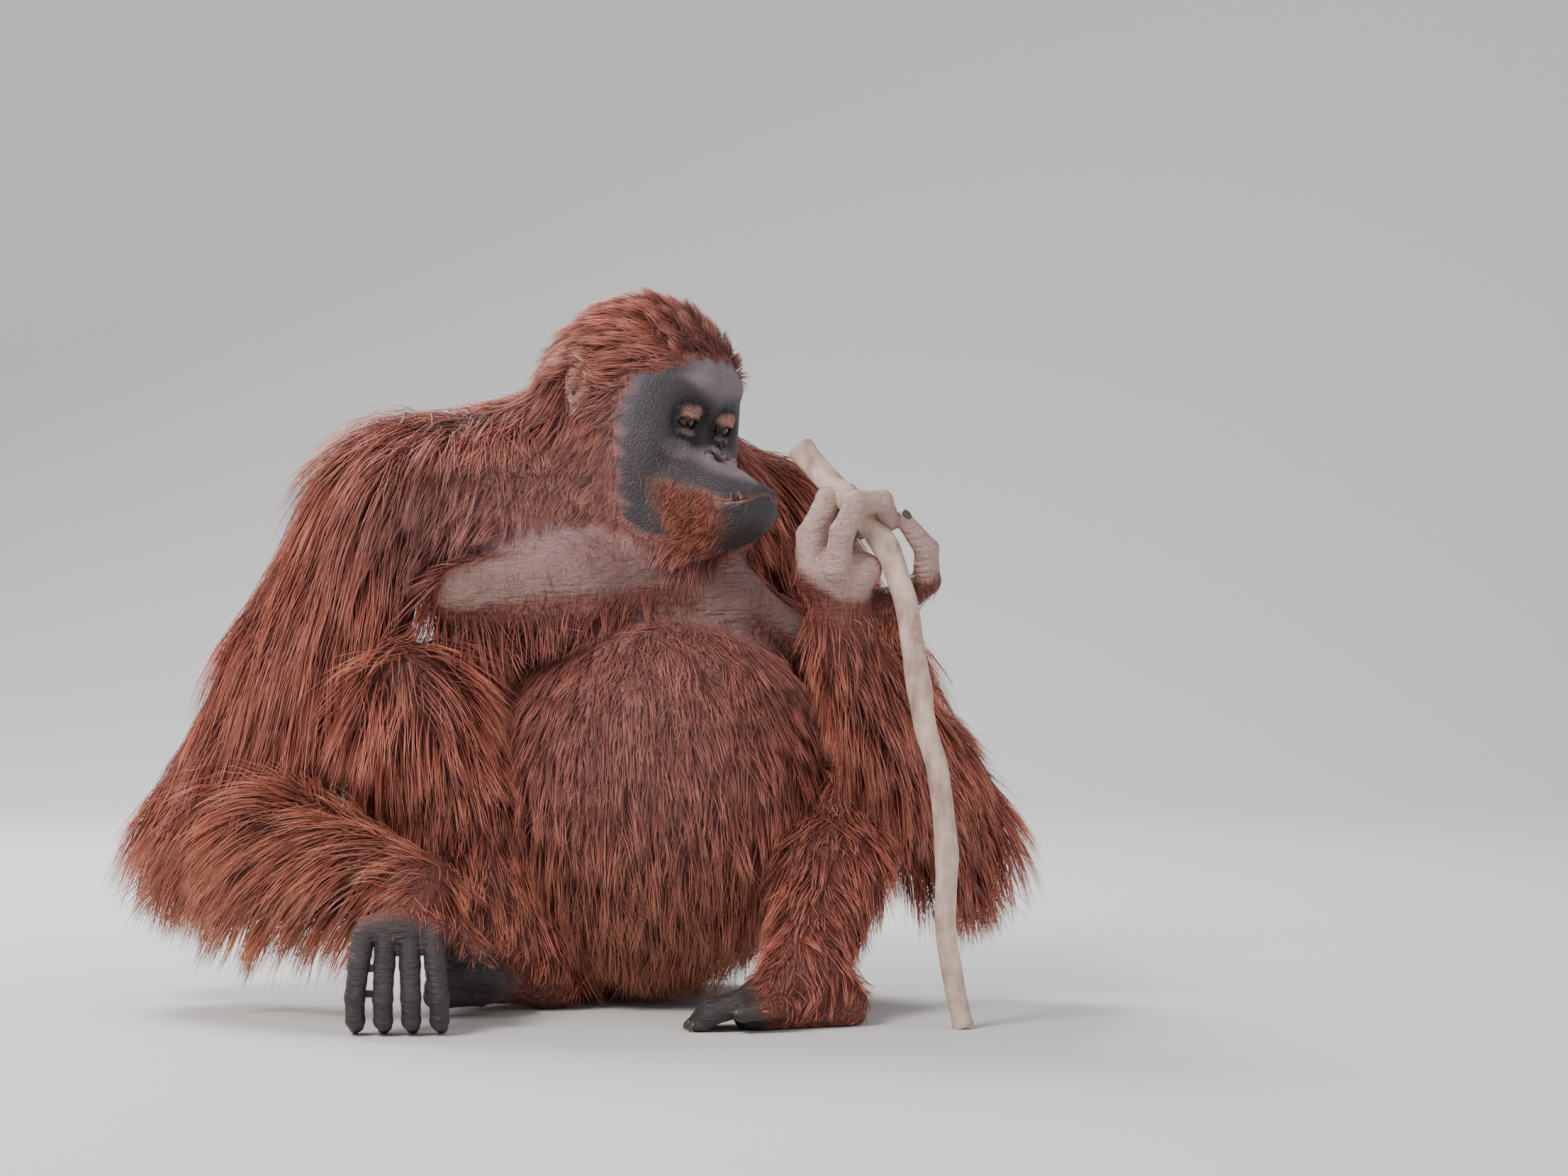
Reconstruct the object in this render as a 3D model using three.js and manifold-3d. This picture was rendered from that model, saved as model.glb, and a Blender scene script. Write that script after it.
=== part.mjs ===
// A life-size adult female orangutan, sitting with one knee drawn up and a cut stick in the left hand.
// Millimetres. +X is the viewer's right, +Y runs away from the viewer and +Z is up, with the seat at zero.
// The flesh is a smooth field of round cones and ellipsoids set on a skeleton, meshed closed and parted
// where the parts of the body have names. The long coat is made of flat, tapered locks fused to its part.
import * as THREE from "three";
import { mergeVertices } from "three/addons/utils/BufferGeometryUtils.js";
import Module from "manifold-3d";

const wasm = await Module();
wasm.setup();

// Driving dimensions
const bone = { humerus: 345, forearm: 305, thigh: 230, shin: 240 };
const bodyTurn = 27;
const headTurn = 50;
const headPitch = 12;
const headRoll = 9;
const eyeRadius = 12;
const stickRadius = { top: 11.5, foot: 9 };
const gap = 0.4;
const pressGap = 3;
const headBall = 182;
const footBall = 115;
const cell = { trunk: 31, limb: 27, head: 11.8, foot: 22 };

const rad = THREE.MathUtils.degToRad;
const v3 = (x, y, z) => new THREE.Vector3(x, y, z);
const mix = (a, b, t) => a.clone().lerp(b, t);
const along = (from, length, way) => from.clone().addScaledVector(way.clone().normalize(), length);

// Body frame: forward and left on the ground, from the point under the pelvis
const seat = v3(30, 65, 0);
const ahead = v3(Math.sin(rad(bodyTurn)), -Math.cos(rad(bodyTurn)), 0);
const leftward = v3(Math.cos(rad(bodyTurn)), Math.sin(rad(bodyTurn)), 0);
const inBody = (f, l, u) =>
  seat.clone().addScaledVector(ahead, f).addScaledVector(leftward, l).add(v3(0, 0, u));

// Head frame: face direction, left and crown direction, from the middle of the braincase
const headMiddle = v3(86, -18, 566);
const headAxes = new THREE.Matrix4().makeRotationFromQuaternion(
  new THREE.Quaternion()
    .setFromAxisAngle(v3(0, 0, 1), rad(headTurn - 90))
    .multiply(new THREE.Quaternion().setFromAxisAngle(v3(0, 1, 0), rad(headPitch)))
    .multiply(new THREE.Quaternion().setFromAxisAngle(v3(1, 0, 0), rad(-headRoll))),
);
const inHead = (f, l, u) => v3(f, l, u).applyMatrix4(headAxes).add(headMiddle);
const headWay = (f, l, u) => v3(f, l, u).applyMatrix4(headAxes).normalize();

// Joints, each a bone's length along its direction in the pose
const joint = {};
joint.hipRight = inBody(5, -75, 115);
joint.kneeRight = along(joint.hipRight, bone.thigh, v3(-88, -137, 163));
joint.ankleRight = along(joint.kneeRight, bone.shin, v3(101, 4, -218));
joint.hipLeft = inBody(5, 75, 115);
joint.kneeLeft = along(joint.hipLeft, bone.thigh, v3(150, -128, 50));
joint.ankleLeft = along(joint.kneeLeft, bone.shin, v3(-40, -190, -124));
joint.shoulderRight = v3(-141, -46, 466);
joint.elbowRight = along(joint.shoulderRight, bone.humerus, v3(-174, -4, -303));
joint.wristRight = along(joint.elbowRight, bone.forearm, v3(210, -215, -45));
joint.shoulderLeft = v3(197, 126, 428);
joint.elbowLeft = along(joint.shoulderLeft, bone.humerus, v3(160, -118, -262));
joint.wristLeft = along(joint.elbowLeft, bone.forearm, v3(-108, -222, 192));

// Distance fields
const smoothMin = (a, b, k) => {
  const h = Math.max(k - Math.abs(a - b), 0) / k;
  return Math.min(a, b) - (h * h * k) / 4;
};

// A cone with a ball at each end.
function roundCone(a, ra, b, rb, k) {
  const ba = b.clone().sub(a);
  const l2 = ba.lengthSq();
  const rr = ra - rb;
  const a2 = l2 - rr * rr;
  const distance = (x, y, z) => {
    const px = x - a.x;
    const py = y - a.y;
    const pz = z - a.z;
    const h = px * ba.x + py * ba.y + pz * ba.z;
    const e = h - l2;
    const cx = px * l2 - ba.x * h;
    const cy = py * l2 - ba.y * h;
    const cz = pz * l2 - ba.z * h;
    const x2 = cx * cx + cy * cy + cz * cz;
    const kk = Math.sign(rr) * rr * rr * x2;
    if (Math.sign(e) * a2 * e * e * l2 > kk) return Math.sqrt(x2 + e * e * l2) / l2 - rb;
    if (Math.sign(h) * a2 * h * h * l2 < kk) return Math.sqrt(x2 + h * h * l2) / l2 - ra;
    return (Math.sqrt((x2 * a2) / l2) + h * rr) / l2 - ra;
  };
  return { distance, k };
}

// An ellipsoid with its radii along a frame's three axes.
function egg(centre, radii, axes, k) {
  const [u, v, w] = axes;
  const [ru, rv, rw] = radii;
  const distance = (x, y, z) => {
    const dx = x - centre.x;
    const dy = y - centre.y;
    const dz = z - centre.z;
    const a = (dx * u.x + dy * u.y + dz * u.z) / ru;
    const b = (dx * v.x + dy * v.y + dz * v.z) / rv;
    const c = (dx * w.x + dy * w.y + dz * w.z) / rw;
    const k0 = Math.sqrt(a * a + b * b + c * c);
    const k1 = Math.sqrt((a * a) / (ru * ru) + (b * b) / (rv * rv) + (c * c) / (rw * rw));
    return k1 < 1e-9 ? -Math.min(ru, rv, rw) : (k0 * (k0 - 1)) / k1;
  };
  return { distance, k };
}

const upright = [ahead, leftward, v3(0, 0, 1)];
const skull = [headWay(1, 0, 0), headWay(0, 1, 0), headWay(0, 0, 1)];
const fieldOf = (forms) => (x, y, z) => {
  let d = 1e6;
  for (const f of forms) d = smoothMin(d, f.distance(x, y, z), f.k);
  return d;
};

function armForms(shoulder, elbow, wrist) {
  return [
    roundCone(shoulder, 58, mix(shoulder, elbow, 0.45), 51, 34),
    roundCone(mix(shoulder, elbow, 0.4), 51, elbow, 43, 24),
    roundCone(elbow, 43, mix(elbow, wrist, 0.35), 47, 24),
    roundCone(mix(elbow, wrist, 0.35), 47, wrist, 27, 24),
  ];
}

function legForms(hip, knee, ankle, footForms) {
  return [
    roundCone(hip, 86, mix(hip, knee, 0.55), 70, 30),
    roundCone(mix(hip, knee, 0.5), 72, knee, 51, 30),
    roundCone(knee, 49, mix(knee, ankle, 0.4), 46, 20),
    roundCone(mix(knee, ankle, 0.4), 46, ankle, 30, 20),
    ...footForms,
  ];
}

const armRightForms = armForms(joint.shoulderRight, joint.elbowRight, joint.wristRight);
const armLeftForms = armForms(joint.shoulderLeft, joint.elbowLeft, joint.wristLeft);

// The muzzle slopes down toward the lips.
const muzzleSlope = 0.31;
const muzzleAxes = [
  headWay(Math.cos(muzzleSlope), 0, -Math.sin(muzzleSlope)),
  skull[1],
  headWay(Math.sin(muzzleSlope), 0, Math.cos(muzzleSlope)),
];
const headForms = [
  egg(inHead(0, 0, 4), [80, 71, 72], skull, 25),
  egg(inHead(-18, 0, -14), [70, 74, 62], skull, 25),
  egg(inHead(42, 0, 2), [42, 62, 44], skull, 22),
  egg(inHead(38, 42, -42), [41, 36, 52], skull, 20),
  egg(inHead(38, -42, -42), [41, 36, 52], skull, 20),
  egg(inHead(38, 46, -86), [44, 34, 48], skull, 26),
  egg(inHead(38, -46, -86), [44, 34, 48], skull, 26),
  egg(inHead(64, 0, -64), [35, 37, 34], skull, 12),
  egg(inHead(121, 0, -79), [50, 40, 23], muzzleAxes, 14),
  egg(inHead(100, 0, -93), [64, 47, 41], skull, 18),
  egg(inHead(144, 0, -84), [27, 34, 22], skull, 14),
  egg(inHead(70, 23, 15), [16, 27, 9], skull, 12),
  egg(inHead(70, -23, 15), [16, 27, 9], skull, 12),
  egg(inHead(94, 0, -50), [11, 17, 9], skull, 9),
];

const abdomenForms = [
  egg(inBody(-8, 0, 100), [115, 150, 116], upright, 40),
  egg(inBody(0, 0, 250), [108, 142, 160], upright, 40),
  egg(inBody(128, 12, 200), [145, 152, 160], upright, 50),
];

const chestForms = [
  ...abdomenForms,
  egg(inBody(45, 0, 412), [112, 150, 118], upright, 14),
  egg(inBody(8, 0, 425), [96, 152, 112], upright, 40),
  roundCone(inBody(30, 5, 470), 84, inHead(-10, 0, -40), 70, 50),
  roundCone(inBody(30, -10, 492), 62, mix(inBody(20, -90, 500), joint.shoulderRight, 0.6), 54, 45),
  roundCone(inBody(30, 20, 485), 62, mix(inBody(20, 90, 470), joint.shoulderLeft, 0.6), 52, 45),
  roundCone(inBody(100, -25, 432), 56, mix(inBody(80, -110, 440), joint.shoulderRight, 0.3), 46, 40),
  roundCone(inBody(120, 30, 440), 52, inHead(70, 0, -110), 48, 45),
  ...headForms,
  armRightForms[0],
  armLeftForms[0],
];

const footRight = {
  heel: joint.ankleRight.clone().add(v3(22, 16, -32)),
  ball: joint.ankleRight.clone().add(v3(-62, -42, -28)),
};
const footLeft = {
  heel: joint.ankleLeft.clone().add(v3(30, 12, -24)),
  ball: joint.ankleLeft.clone().add(v3(-36, -26, -24)),
};
const footForms = (ankle, foot) => [
  roundCone(ankle, 30, foot.heel, 27, 18),
  roundCone(ankle, 29, foot.ball, 22, 18),
  roundCone(foot.heel, 25, foot.ball, 22, 18),
];
const legRightForms = legForms(
  joint.hipRight, joint.kneeRight, joint.ankleRight, footForms(joint.ankleRight, footRight),
);
const legLeftForms = legForms(
  joint.hipLeft, joint.kneeLeft, joint.ankleLeft, footForms(joint.ankleLeft, footLeft),
);

// Sockets that the eyes lie in, hollowed from the face
const sockets = [-1, 1].map((side) => egg(inHead(96, side * 27, -22), [19, 20, 13], skull, 9));
const fullField = fieldOf(chestForms);
const chestField = (x, y, z) =>
  -sockets.reduce((d, s) => smoothMin(d, s.distance(x, y, z), s.k), -fullField(x, y, z));
const armRightField = fieldOf(armRightForms);
const armLeftField = fieldOf(armLeftForms);
const legRightField = fieldOf(legRightForms);
const legLeftField = fieldOf(legLeftForms);

function gradient(field, p) {
  const e = 0.5;
  return v3(
    field(p.x + e, p.y, p.z) - field(p.x - e, p.y, p.z),
    field(p.x, p.y + e, p.z) - field(p.x, p.y - e, p.z),
    field(p.x, p.y, p.z + e) - field(p.x, p.y, p.z - e),
  ).divideScalar(2 * e);
}

const depth = (field, p) => field(p.x, p.y, p.z);

function pullTo(field, p) {
  for (let i = 0; i < 2; i++) {
    const g = gradient(field, p);
    p.addScaledVector(g, -depth(field, p) / Math.max(g.lengthSq(), 0.2));
  }
  return p;
}

const solidFrom = (positions, triangles) =>
  new wasm.Manifold(
    new wasm.Mesh({
      numProp: 3,
      vertProperties: new Float32Array(positions),
      triVerts: new Uint32Array(triangles),
    }),
  );

// A closed surface of the field, one vertex in each grid cell that it crosses, pulled onto it.
const corners = [0, 1, 2, 3, 4, 5, 6, 7].map((c) => [c & 1, (c >> 1) & 1, (c >> 2) & 1]);
const cellEdges = [];
for (let a = 0; a < 8; a++)
  for (const bit of [1, 2, 4]) if (!(a & bit)) cellEdges.push([a, a | bit]);

// Whether the corners of each sign hang together along the cell's edges, so that the surface has no pinch.
const soundSigns = Array.from({ length: 256 }, (_, signs) =>
  [0, 1].every((sign) => {
    const members = corners.map((_, m) => m).filter((m) => ((signs >> m) & 1) === sign);
    const found = new Set(members.slice(0, 1));
    for (let round = 0; round < 7; round++)
      for (const [a, b] of cellEdges)
        if (members.includes(a) && members.includes(b) && found.has(a) !== found.has(b))
          found.add(a).add(b);
    return found.size === members.length;
  }));

function skinOf(field, low, high, size, place = (p) => p) {
  const n = [0, 1, 2].map((i) => Math.ceil((high.getComponent(i) - low.getComponent(i)) / size) + 1);
  const value = new Float32Array(n[0] * n[1] * n[2]);
  const at = (i, j, k) => i + n[0] * (j + n[1] * k);
  for (let k = 0; k < n[2]; k++)
    for (let j = 0; j < n[1]; j++)
      for (let i = 0; i < n[0]; i++)
        value[at(i, j, k)] = depth(field, place(v3(i, j, k).multiplyScalar(size).add(low)));
  const offsets = corners.map(([x, y, z]) => at(x, y, z));
  const signsAt = (place) => offsets.reduce((signs, o, m) => signs | ((value[place + o] < 0 ? 1 : 0) << m), 0);
  for (let round = 0, changed = true; changed && round < 12; round++) {
    changed = false;
    for (let k = 0; k < n[2] - 1; k++)
      for (let j = 0; j < n[1] - 1; j++)
        for (let i = 0; i < n[0] - 1; i++) {
          const place = at(i, j, k);
          if (soundSigns[signsAt(place)]) continue;
          for (const o of offsets) value[place + o] = Math.min(value[place + o], -0.02 * size);
          changed = true;
        }
  }
  const vertexOf = new Map();
  const positions = [];
  for (let k = 0; k < n[2] - 1; k++)
    for (let j = 0; j < n[1] - 1; j++)
      for (let i = 0; i < n[0] - 1; i++) {
        const signs = signsAt(at(i, j, k));
        if (signs === 0 || signs === 255) continue;
        const c = offsets.map((o) => value[at(i, j, k) + o]);
        const sum = v3(0, 0, 0);
        let crossings = 0;
        for (const [a, b] of cellEdges)
          if (c[a] < 0 !== c[b] < 0) {
            const t = c[a] / (c[a] - c[b]);
            sum.add(mix(v3(...corners[a]), v3(...corners[b]), t));
            crossings++;
          }
        const p = place(sum.divideScalar(crossings).add(v3(i, j, k)).multiplyScalar(size).add(low));
        if (Math.abs(depth(field, p)) < size * 0.6) pullTo(field, p);
        vertexOf.set(at(i, j, k), positions.length / 3);
        positions.push(p.x, p.y, p.z);
      }
  const triangles = [];
  const quad = (a, b, c, d, turned) => {
    const [p, q, r, s] = [a, b, c, d].map((x) => vertexOf.get(x));
    if (turned) triangles.push(p, q, r, p, r, s);
    else triangles.push(p, r, q, p, s, r);
  };
  for (let k = 1; k < n[2] - 1; k++)
    for (let j = 1; j < n[1] - 1; j++)
      for (let i = 1; i < n[0] - 1; i++) {
        const here = value[at(i, j, k)] < 0;
        if (here !== value[at(i + 1, j, k)] < 0)
          quad(at(i, j - 1, k - 1), at(i, j, k - 1), at(i, j, k), at(i, j - 1, k), here);
        if (here !== value[at(i, j + 1, k)] < 0)
          quad(at(i - 1, j, k - 1), at(i - 1, j, k), at(i, j, k), at(i, j, k - 1), here);
        if (here !== value[at(i, j, k + 1)] < 0)
          quad(at(i - 1, j - 1, k), at(i, j - 1, k), at(i, j, k), at(i - 1, j, k), here);
      }
  return solidFrom(positions, triangles);
}

// The part of a field that lies in a ball, with its cells finest about a point.
function ballOf(field, middle, radius, size, fine = middle, growth = 0) {
  const within = (x, y, z) => Math.max(field(x, y, z), Math.hypot(x - middle.x, y - middle.y, z - middle.z) - radius);
  const place = (q) => q.multiplyScalar(1 + growth * q.lengthSq()).add(fine);
  const reach = radius + 3 * size;
  return skinOf(within, v3(-reach, -reach, -reach), v3(reach, reach, reach), size, place);
}

// A three.js geometry as a solid, placed by a matrix.
function solidOf(geometry, matrix = new THREE.Matrix4()) {
  const g = geometry.clone().applyMatrix4(matrix);
  for (const name of ["normal", "uv"]) g.deleteAttribute(name);
  const merged = mergeVertices(g, 1e-4);
  return solidFrom(merged.attributes.position.array, merged.index.array);
}

const turnTo = (x, z) => {
  const zz = z.clone().normalize();
  const yy = new THREE.Vector3().crossVectors(zz, x).normalize();
  return new THREE.Matrix4().makeBasis(new THREE.Vector3().crossVectors(yy, zz), yy, zz);
};

// A box that starts at a point and runs a length along a direction.
function blockAlong(from, way, side, length, width, depth, grow = 0) {
  const m = turnTo(side, way).setPosition(along(from, length / 2, way));
  return solidOf(new THREE.BoxGeometry(width + 2 * grow, depth + 2 * grow, length + 2 * grow), m);
}

const eggSolid = (centre, radii, axes, across = 12, up = 8) =>
  solidOf(
    new THREE.SphereGeometry(1, across, up),
    new THREE.Matrix4()
      .makeBasis(...axes)
      .scale(v3(...radii))
      .setPosition(centre),
  );

const ball = (centre, r) => eggSolid(centre, [r, r, r], skull, 12, 8);

// A closed tube through points, each with its half width and half depth; the width lies along the side given.
function tube(points, sizes, sides, side) {
  const positions = [];
  const rings = points.length;
  points.forEach((p, i) => {
    const way = points[Math.min(i + 1, rings - 1)].clone().sub(points[Math.max(i - 1, 0)]).normalize();
    const thick = new THREE.Vector3().crossVectors(way, side).normalize();
    const wide = new THREE.Vector3().crossVectors(thick, way).normalize();
    const [w, t] = sizes[i];
    for (let s = 0; s < sides; s++) {
      const a = (s / sides) * 2 * Math.PI + Math.PI / 2;
      const q = p.clone().addScaledVector(wide, w * Math.cos(a)).addScaledVector(thick, t * Math.sin(a));
      positions.push(q.x, q.y, q.z);
    }
  });
  const triangles = [];
  for (let i = 0; i < rings - 1; i++)
    for (let s = 0; s < sides; s++) {
      const a = i * sides + s;
      const b = i * sides + ((s + 1) % sides);
      triangles.push(a, a + sides, b + sides, a, b + sides, b);
    }
  for (const [ring, sign] of [[0, -1], [rings - 1, 1]]) {
    const i = ring ? ring - 1 : 1;
    const out = points[ring].clone().sub(points[i]).normalize();
    const tip = points[ring].clone().addScaledVector(out, 0.55 * Math.min(...sizes[ring]));
    positions.push(tip.x, tip.y, tip.z);
    const top = positions.length / 3 - 1;
    for (let s = 0; s < sides; s++) {
      const a = ring * sides + s;
      const b = ring * sides + ((s + 1) % sides);
      triangles.push(...(sign > 0 ? [a, top, b] : [b, top, a]));
    }
  }
  const made = solidFrom(positions, triangles);
  return made.volume() < 0 ? solidFrom(positions, triangles.reverse()) : made;
}

const join = (solids) => wasm.Manifold.union(solids);
const meets = (a, b) => {
  const [p, q] = [a.boundingBox(), b.boundingBox()];
  return [0, 1, 2].every((i) => p.min[i] < q.max[i] && q.min[i] < p.max[i]) && a.intersect(b).volume() > 1e-6;
};
const largest = (solid) =>
  solid.decompose().reduce((a, b) => (b.volume() > a.volume() ? b : a));

// Limb blocks that part the arms and legs from what they grow from
const reach = { thick: 200 };
const cuts = {
  forearm_right: (g) => blockAlong(joint.elbowRight.clone().add(v3(8, 4, -6)),
    joint.wristRight.clone().sub(joint.elbowRight), v3(0, 0, 1), bone.forearm - 12, 150, 150, g),
  forearm_left: (g) => blockAlong(joint.elbowLeft.clone().add(v3(-4, -6, 6)),
    joint.wristLeft.clone().sub(joint.elbowLeft), v3(1, 0, 0), bone.forearm - 12, 124, 124, g),
  upper_arm_right: (g) => blockAlong(mix(joint.shoulderRight, joint.elbowRight, 0.16),
    joint.elbowRight.clone().sub(joint.shoulderRight), v3(0, 1, 0), bone.humerus + 60, reach.thick, 170, g),
  upper_arm_left: (g) => blockAlong(mix(joint.shoulderLeft, joint.elbowLeft, 0.16),
    joint.elbowLeft.clone().sub(joint.shoulderLeft), v3(0, 0, 1), bone.humerus + 60, 190, 150, g),
  stub_right: (g) => blockAlong(mix(joint.shoulderRight, joint.elbowRight, 0.16),
    joint.elbowRight.clone().sub(joint.shoulderRight), v3(0, 1, 0), 170, 170, 170, g),
  stub_left: (g) => blockAlong(mix(joint.shoulderLeft, joint.elbowLeft, 0.16),
    joint.elbowLeft.clone().sub(joint.shoulderLeft), v3(0, 0, 1), 170, 170, 150, g),
  leg_right: (g) => blockAlong(mix(joint.hipRight, joint.kneeRight, 0.3),
    joint.kneeRight.clone().sub(joint.hipRight), v3(0, 1, 0), 500, 700, 700, g),
  leg_left: (g) => blockAlong(mix(joint.hipLeft, joint.kneeLeft, 0.3),
    joint.kneeLeft.clone().sub(joint.hipLeft), v3(0, 1, 0), 500, 700, 700, g),
  shin_right: (g) => blockAlong(mix(joint.kneeRight, joint.ankleRight, 0.17),
    joint.ankleRight.clone().sub(joint.kneeRight), v3(0, 1, 0), bone.shin * 0.74, 124, 124, g),
  shin_left: (g) => blockAlong(mix(joint.kneeLeft, joint.ankleLeft, 0.17),
    joint.ankleLeft.clone().sub(joint.kneeLeft), v3(1, 0, 0), bone.shin * 0.72, 124, 124, g),
};

const ground = (g) =>
  solidOf(new THREE.BoxGeometry(1400, 1400, 300), new THREE.Matrix4().setPosition(0, 0, -150 - g));

// The head's block stands on the plane from the throat to the nape, and the neck's lies under it.
const napeWay = headWay(0.42, 0, 0.9);
const neckDepth = 58;
const napePoint = (f) => inHead(f, 0, -103 - (0.42 / 0.9) * f);
const headBlock = (g) =>
  blockAlong(napePoint(45), napeWay, skull[1], 400, 188, 500, g)
    .intersect(blockAlong(inHead(52, 0, -180), skull[2], skull[1], 360, 188, 320, g));
const neckBlock = (g) =>
  blockAlong(along(napePoint(10), -neckDepth, napeWay), napeWay, skull[1], neckDepth - gap, 172, 240, g);

const low = v3(-440, -420, -60);
const high = v3(460, 260, 720);
// The belly and rump lie under the fold of the breasts, which slopes down to the left side.
const foldWay = v3(0.02, 0.05, -1).addScaledVector(leftward, -0.13);
const abdomenBlock = (g) => blockAlong(inBody(60, -20, 340), foldWay, leftward, 500, 900, 900, g);
const bellyBlock = (g) => blockAlong(inBody(62, 0, 200), ahead, leftward, 400, 700, 700, g);
const footBlock = (ankle) => solidOf(new THREE.BoxGeometry(240, 240, 190), new THREE.Matrix4().setPosition(ankle));

// Head with its finer face: lids, nose, lips and the line of the mouth
const eyes = { left: inHead(72, 25, -21), right: inHead(72, -25, -21) };
const lidRadius = 16.5;
const mouthLine = [
  [135, -42, -81], [153, -35, -82], [164, -20, -75], [168, 0, -68],
  [164, 20, -75], [153, 35, -82], [135, 42, -81],
].map((p) => inHead(...p));

function headSolid() {
  const flesh = ballOf(chestField, inHead(45, 0, -45), headBall, cell.head, inHead(104, 0, -52), 3.4e-5);
  const lidBall = (eye) => ball(eye, lidRadius);
  const lips = [[4.2, 6.4], [-4.8, 6.8]].map(([rise, thick]) =>
    tube(
      mouthLine.map((p) => p.clone().addScaledVector(skull[2], rise)),
      mouthLine.map((_, i) => { const s = thick * (0.45 + 0.55 * Math.sin((Math.PI * i) / 6)); return [s, s]; }),
      6, skull[2],
    ));
  const slit = tube(
    mouthLine.map((p) => p.clone().addScaledVector(skull[0], 6)),
    mouthLine.map(() => [1.3, 11]), 4, skull[2],
  );
  const almond = (eye, side) => tube(
    [3, 30].map((f) => eye.clone().addScaledVector(skull[0], f).addScaledVector(skull[1], side)),
    [[4.4, 10], [6, 14]], 8, skull[2],
  );
  const nostril = (side) => tube(
    [[96, side * 6, -53], [124, side * 11, -36]].map((p) => inHead(...p)), [[3, 4], [5, 7]], 6, skull[2],
  );
  return join([flesh, lidBall(eyes.left), lidBall(eyes.right), ...lips])
    .subtract(join([slit, nostril(1), nostril(-1), almond(eyes.left, 1), almond(eyes.right, -1)]))
    .subtract(join(Object.values(eyes).map((eye) => ball(eye, eyeRadius + 1.3 * gap))));
}

// Ear: a flat egg with its cup hollowed, leaving the rolled rim
const earHalf = { height: 24, width: 17, thick: 10 };
function earSolid(side) {
  const out = headWay(-0.25, side, 0);
  const up = headWay(-0.18, 0, 1);
  const axes = [new THREE.Vector3().crossVectors(up, out).normalize(), up, out];
  // The left ear lies close to the shoulder.
  const middle = inHead(-8, side > 0 ? 82.5 : -86, -18);
  const outer = eggSolid(middle, [earHalf.width, earHalf.height, earHalf.thick], axes, 12, 8);
  const cup = eggSolid(
    middle.clone().addScaledVector(out, 7).addScaledVector(up, 1),
    [earHalf.width - 4.2, earHalf.height - 6, 8.5], axes, 10, 6,
  );
  return outer.subtract(cup);
}

// Breasts: two soft rolls that meet over the fold
function breasts() {
  const roll = (from, middle, to, sizes) => tube([from, middle, to], sizes, 10, v3(0, 0, 1));
  return join([
    roll(inBody(132, 12, 392), inBody(142, -80, 384), inBody(112, -178, 368), [[44, 50], [42, 48], [30, 30]]),
    roll(inBody(132, -12, 386), inBody(146, 70, 362), inBody(118, 150, 326), [[40, 48], [36, 42], [26, 26]]),
  ]);
}

// Hands and feet
const ring = (r) => [r, r];
function digit(points, radii, side, sides = 6) {
  return tube(points.map((p) => v3(...p)), radii.map(ring), sides, side);
}

function handRight() {
  const w = joint.wristRight;
  const side = v3(1, 0.1, 0);
  const palm = tube(
    [w.clone().add(v3(-16, 16, 4)), w.clone().add(v3(-2, -4, 0)), w.clone().add(v3(-14, -34, -14)),
      w.clone().add(v3(-22, -62, -38))],
    [[27, 24], [31, 21], [40, 18], [40, 14]], 12, side,
  );
  const fingers = [-30, -10, 10, 30].map((x, i) => {
    const base = w.clone().add(v3(-22 + x, -60, -36));
    const spread = x * 0.22;
    const reachDown = [0, 3, 3, 0][i];
    return digit(
      [[base.x, base.y, base.z], [base.x + spread * 0.5, base.y - 12, 62],
        [base.x + spread, base.y - 16 - reachDown, 34], [base.x + spread, base.y - 9 - reachDown, 14],
        [base.x + spread, base.y + 8, 7]],
      [11, 10.5, 10, 9.5, 7.6], v3(1, 0, 0),
    );
  });
  const thumb = digit(
    [[w.x + 14, w.y - 8, w.z - 14], [w.x + 30, w.y - 22, w.z - 34], [w.x + 48, w.y - 30, w.z - 54]],
    [12, 9.5, 6.5], v3(0, 1, 0),
  );
  return join([palm, ...fingers, thumb]);
}

// Stick: a crooked cut branch that stands on the ground and leans in the grip
const stickPath = [
  [227, -180, 508], [248, -198, 484], [275, -226, 456], [301, -240, 424], [312, -244, 396], [320, -248, 369],
  [331, -253, 299], [337, -256, 262], [347, -260, 226], [355, -264, 155], [354, -268, 90], [363, -272, 32],
  [370, -274, -8],
].map((p) => v3(...p));
const stickSizes = (g) =>
  stickPath.map((_, i) => {
    const t = i / (stickPath.length - 1);
    const knot = i % 3 === 1 ? 1.4 : 0;
    const r = stickRadius.top + (stickRadius.foot - stickRadius.top) * t + knot + g;
    return [r, r];
  });
const stickSolid = (g) => tube(stickPath, stickSizes(g), 9, v3(0, 1, 0)).subtract(ground(-g));

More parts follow.
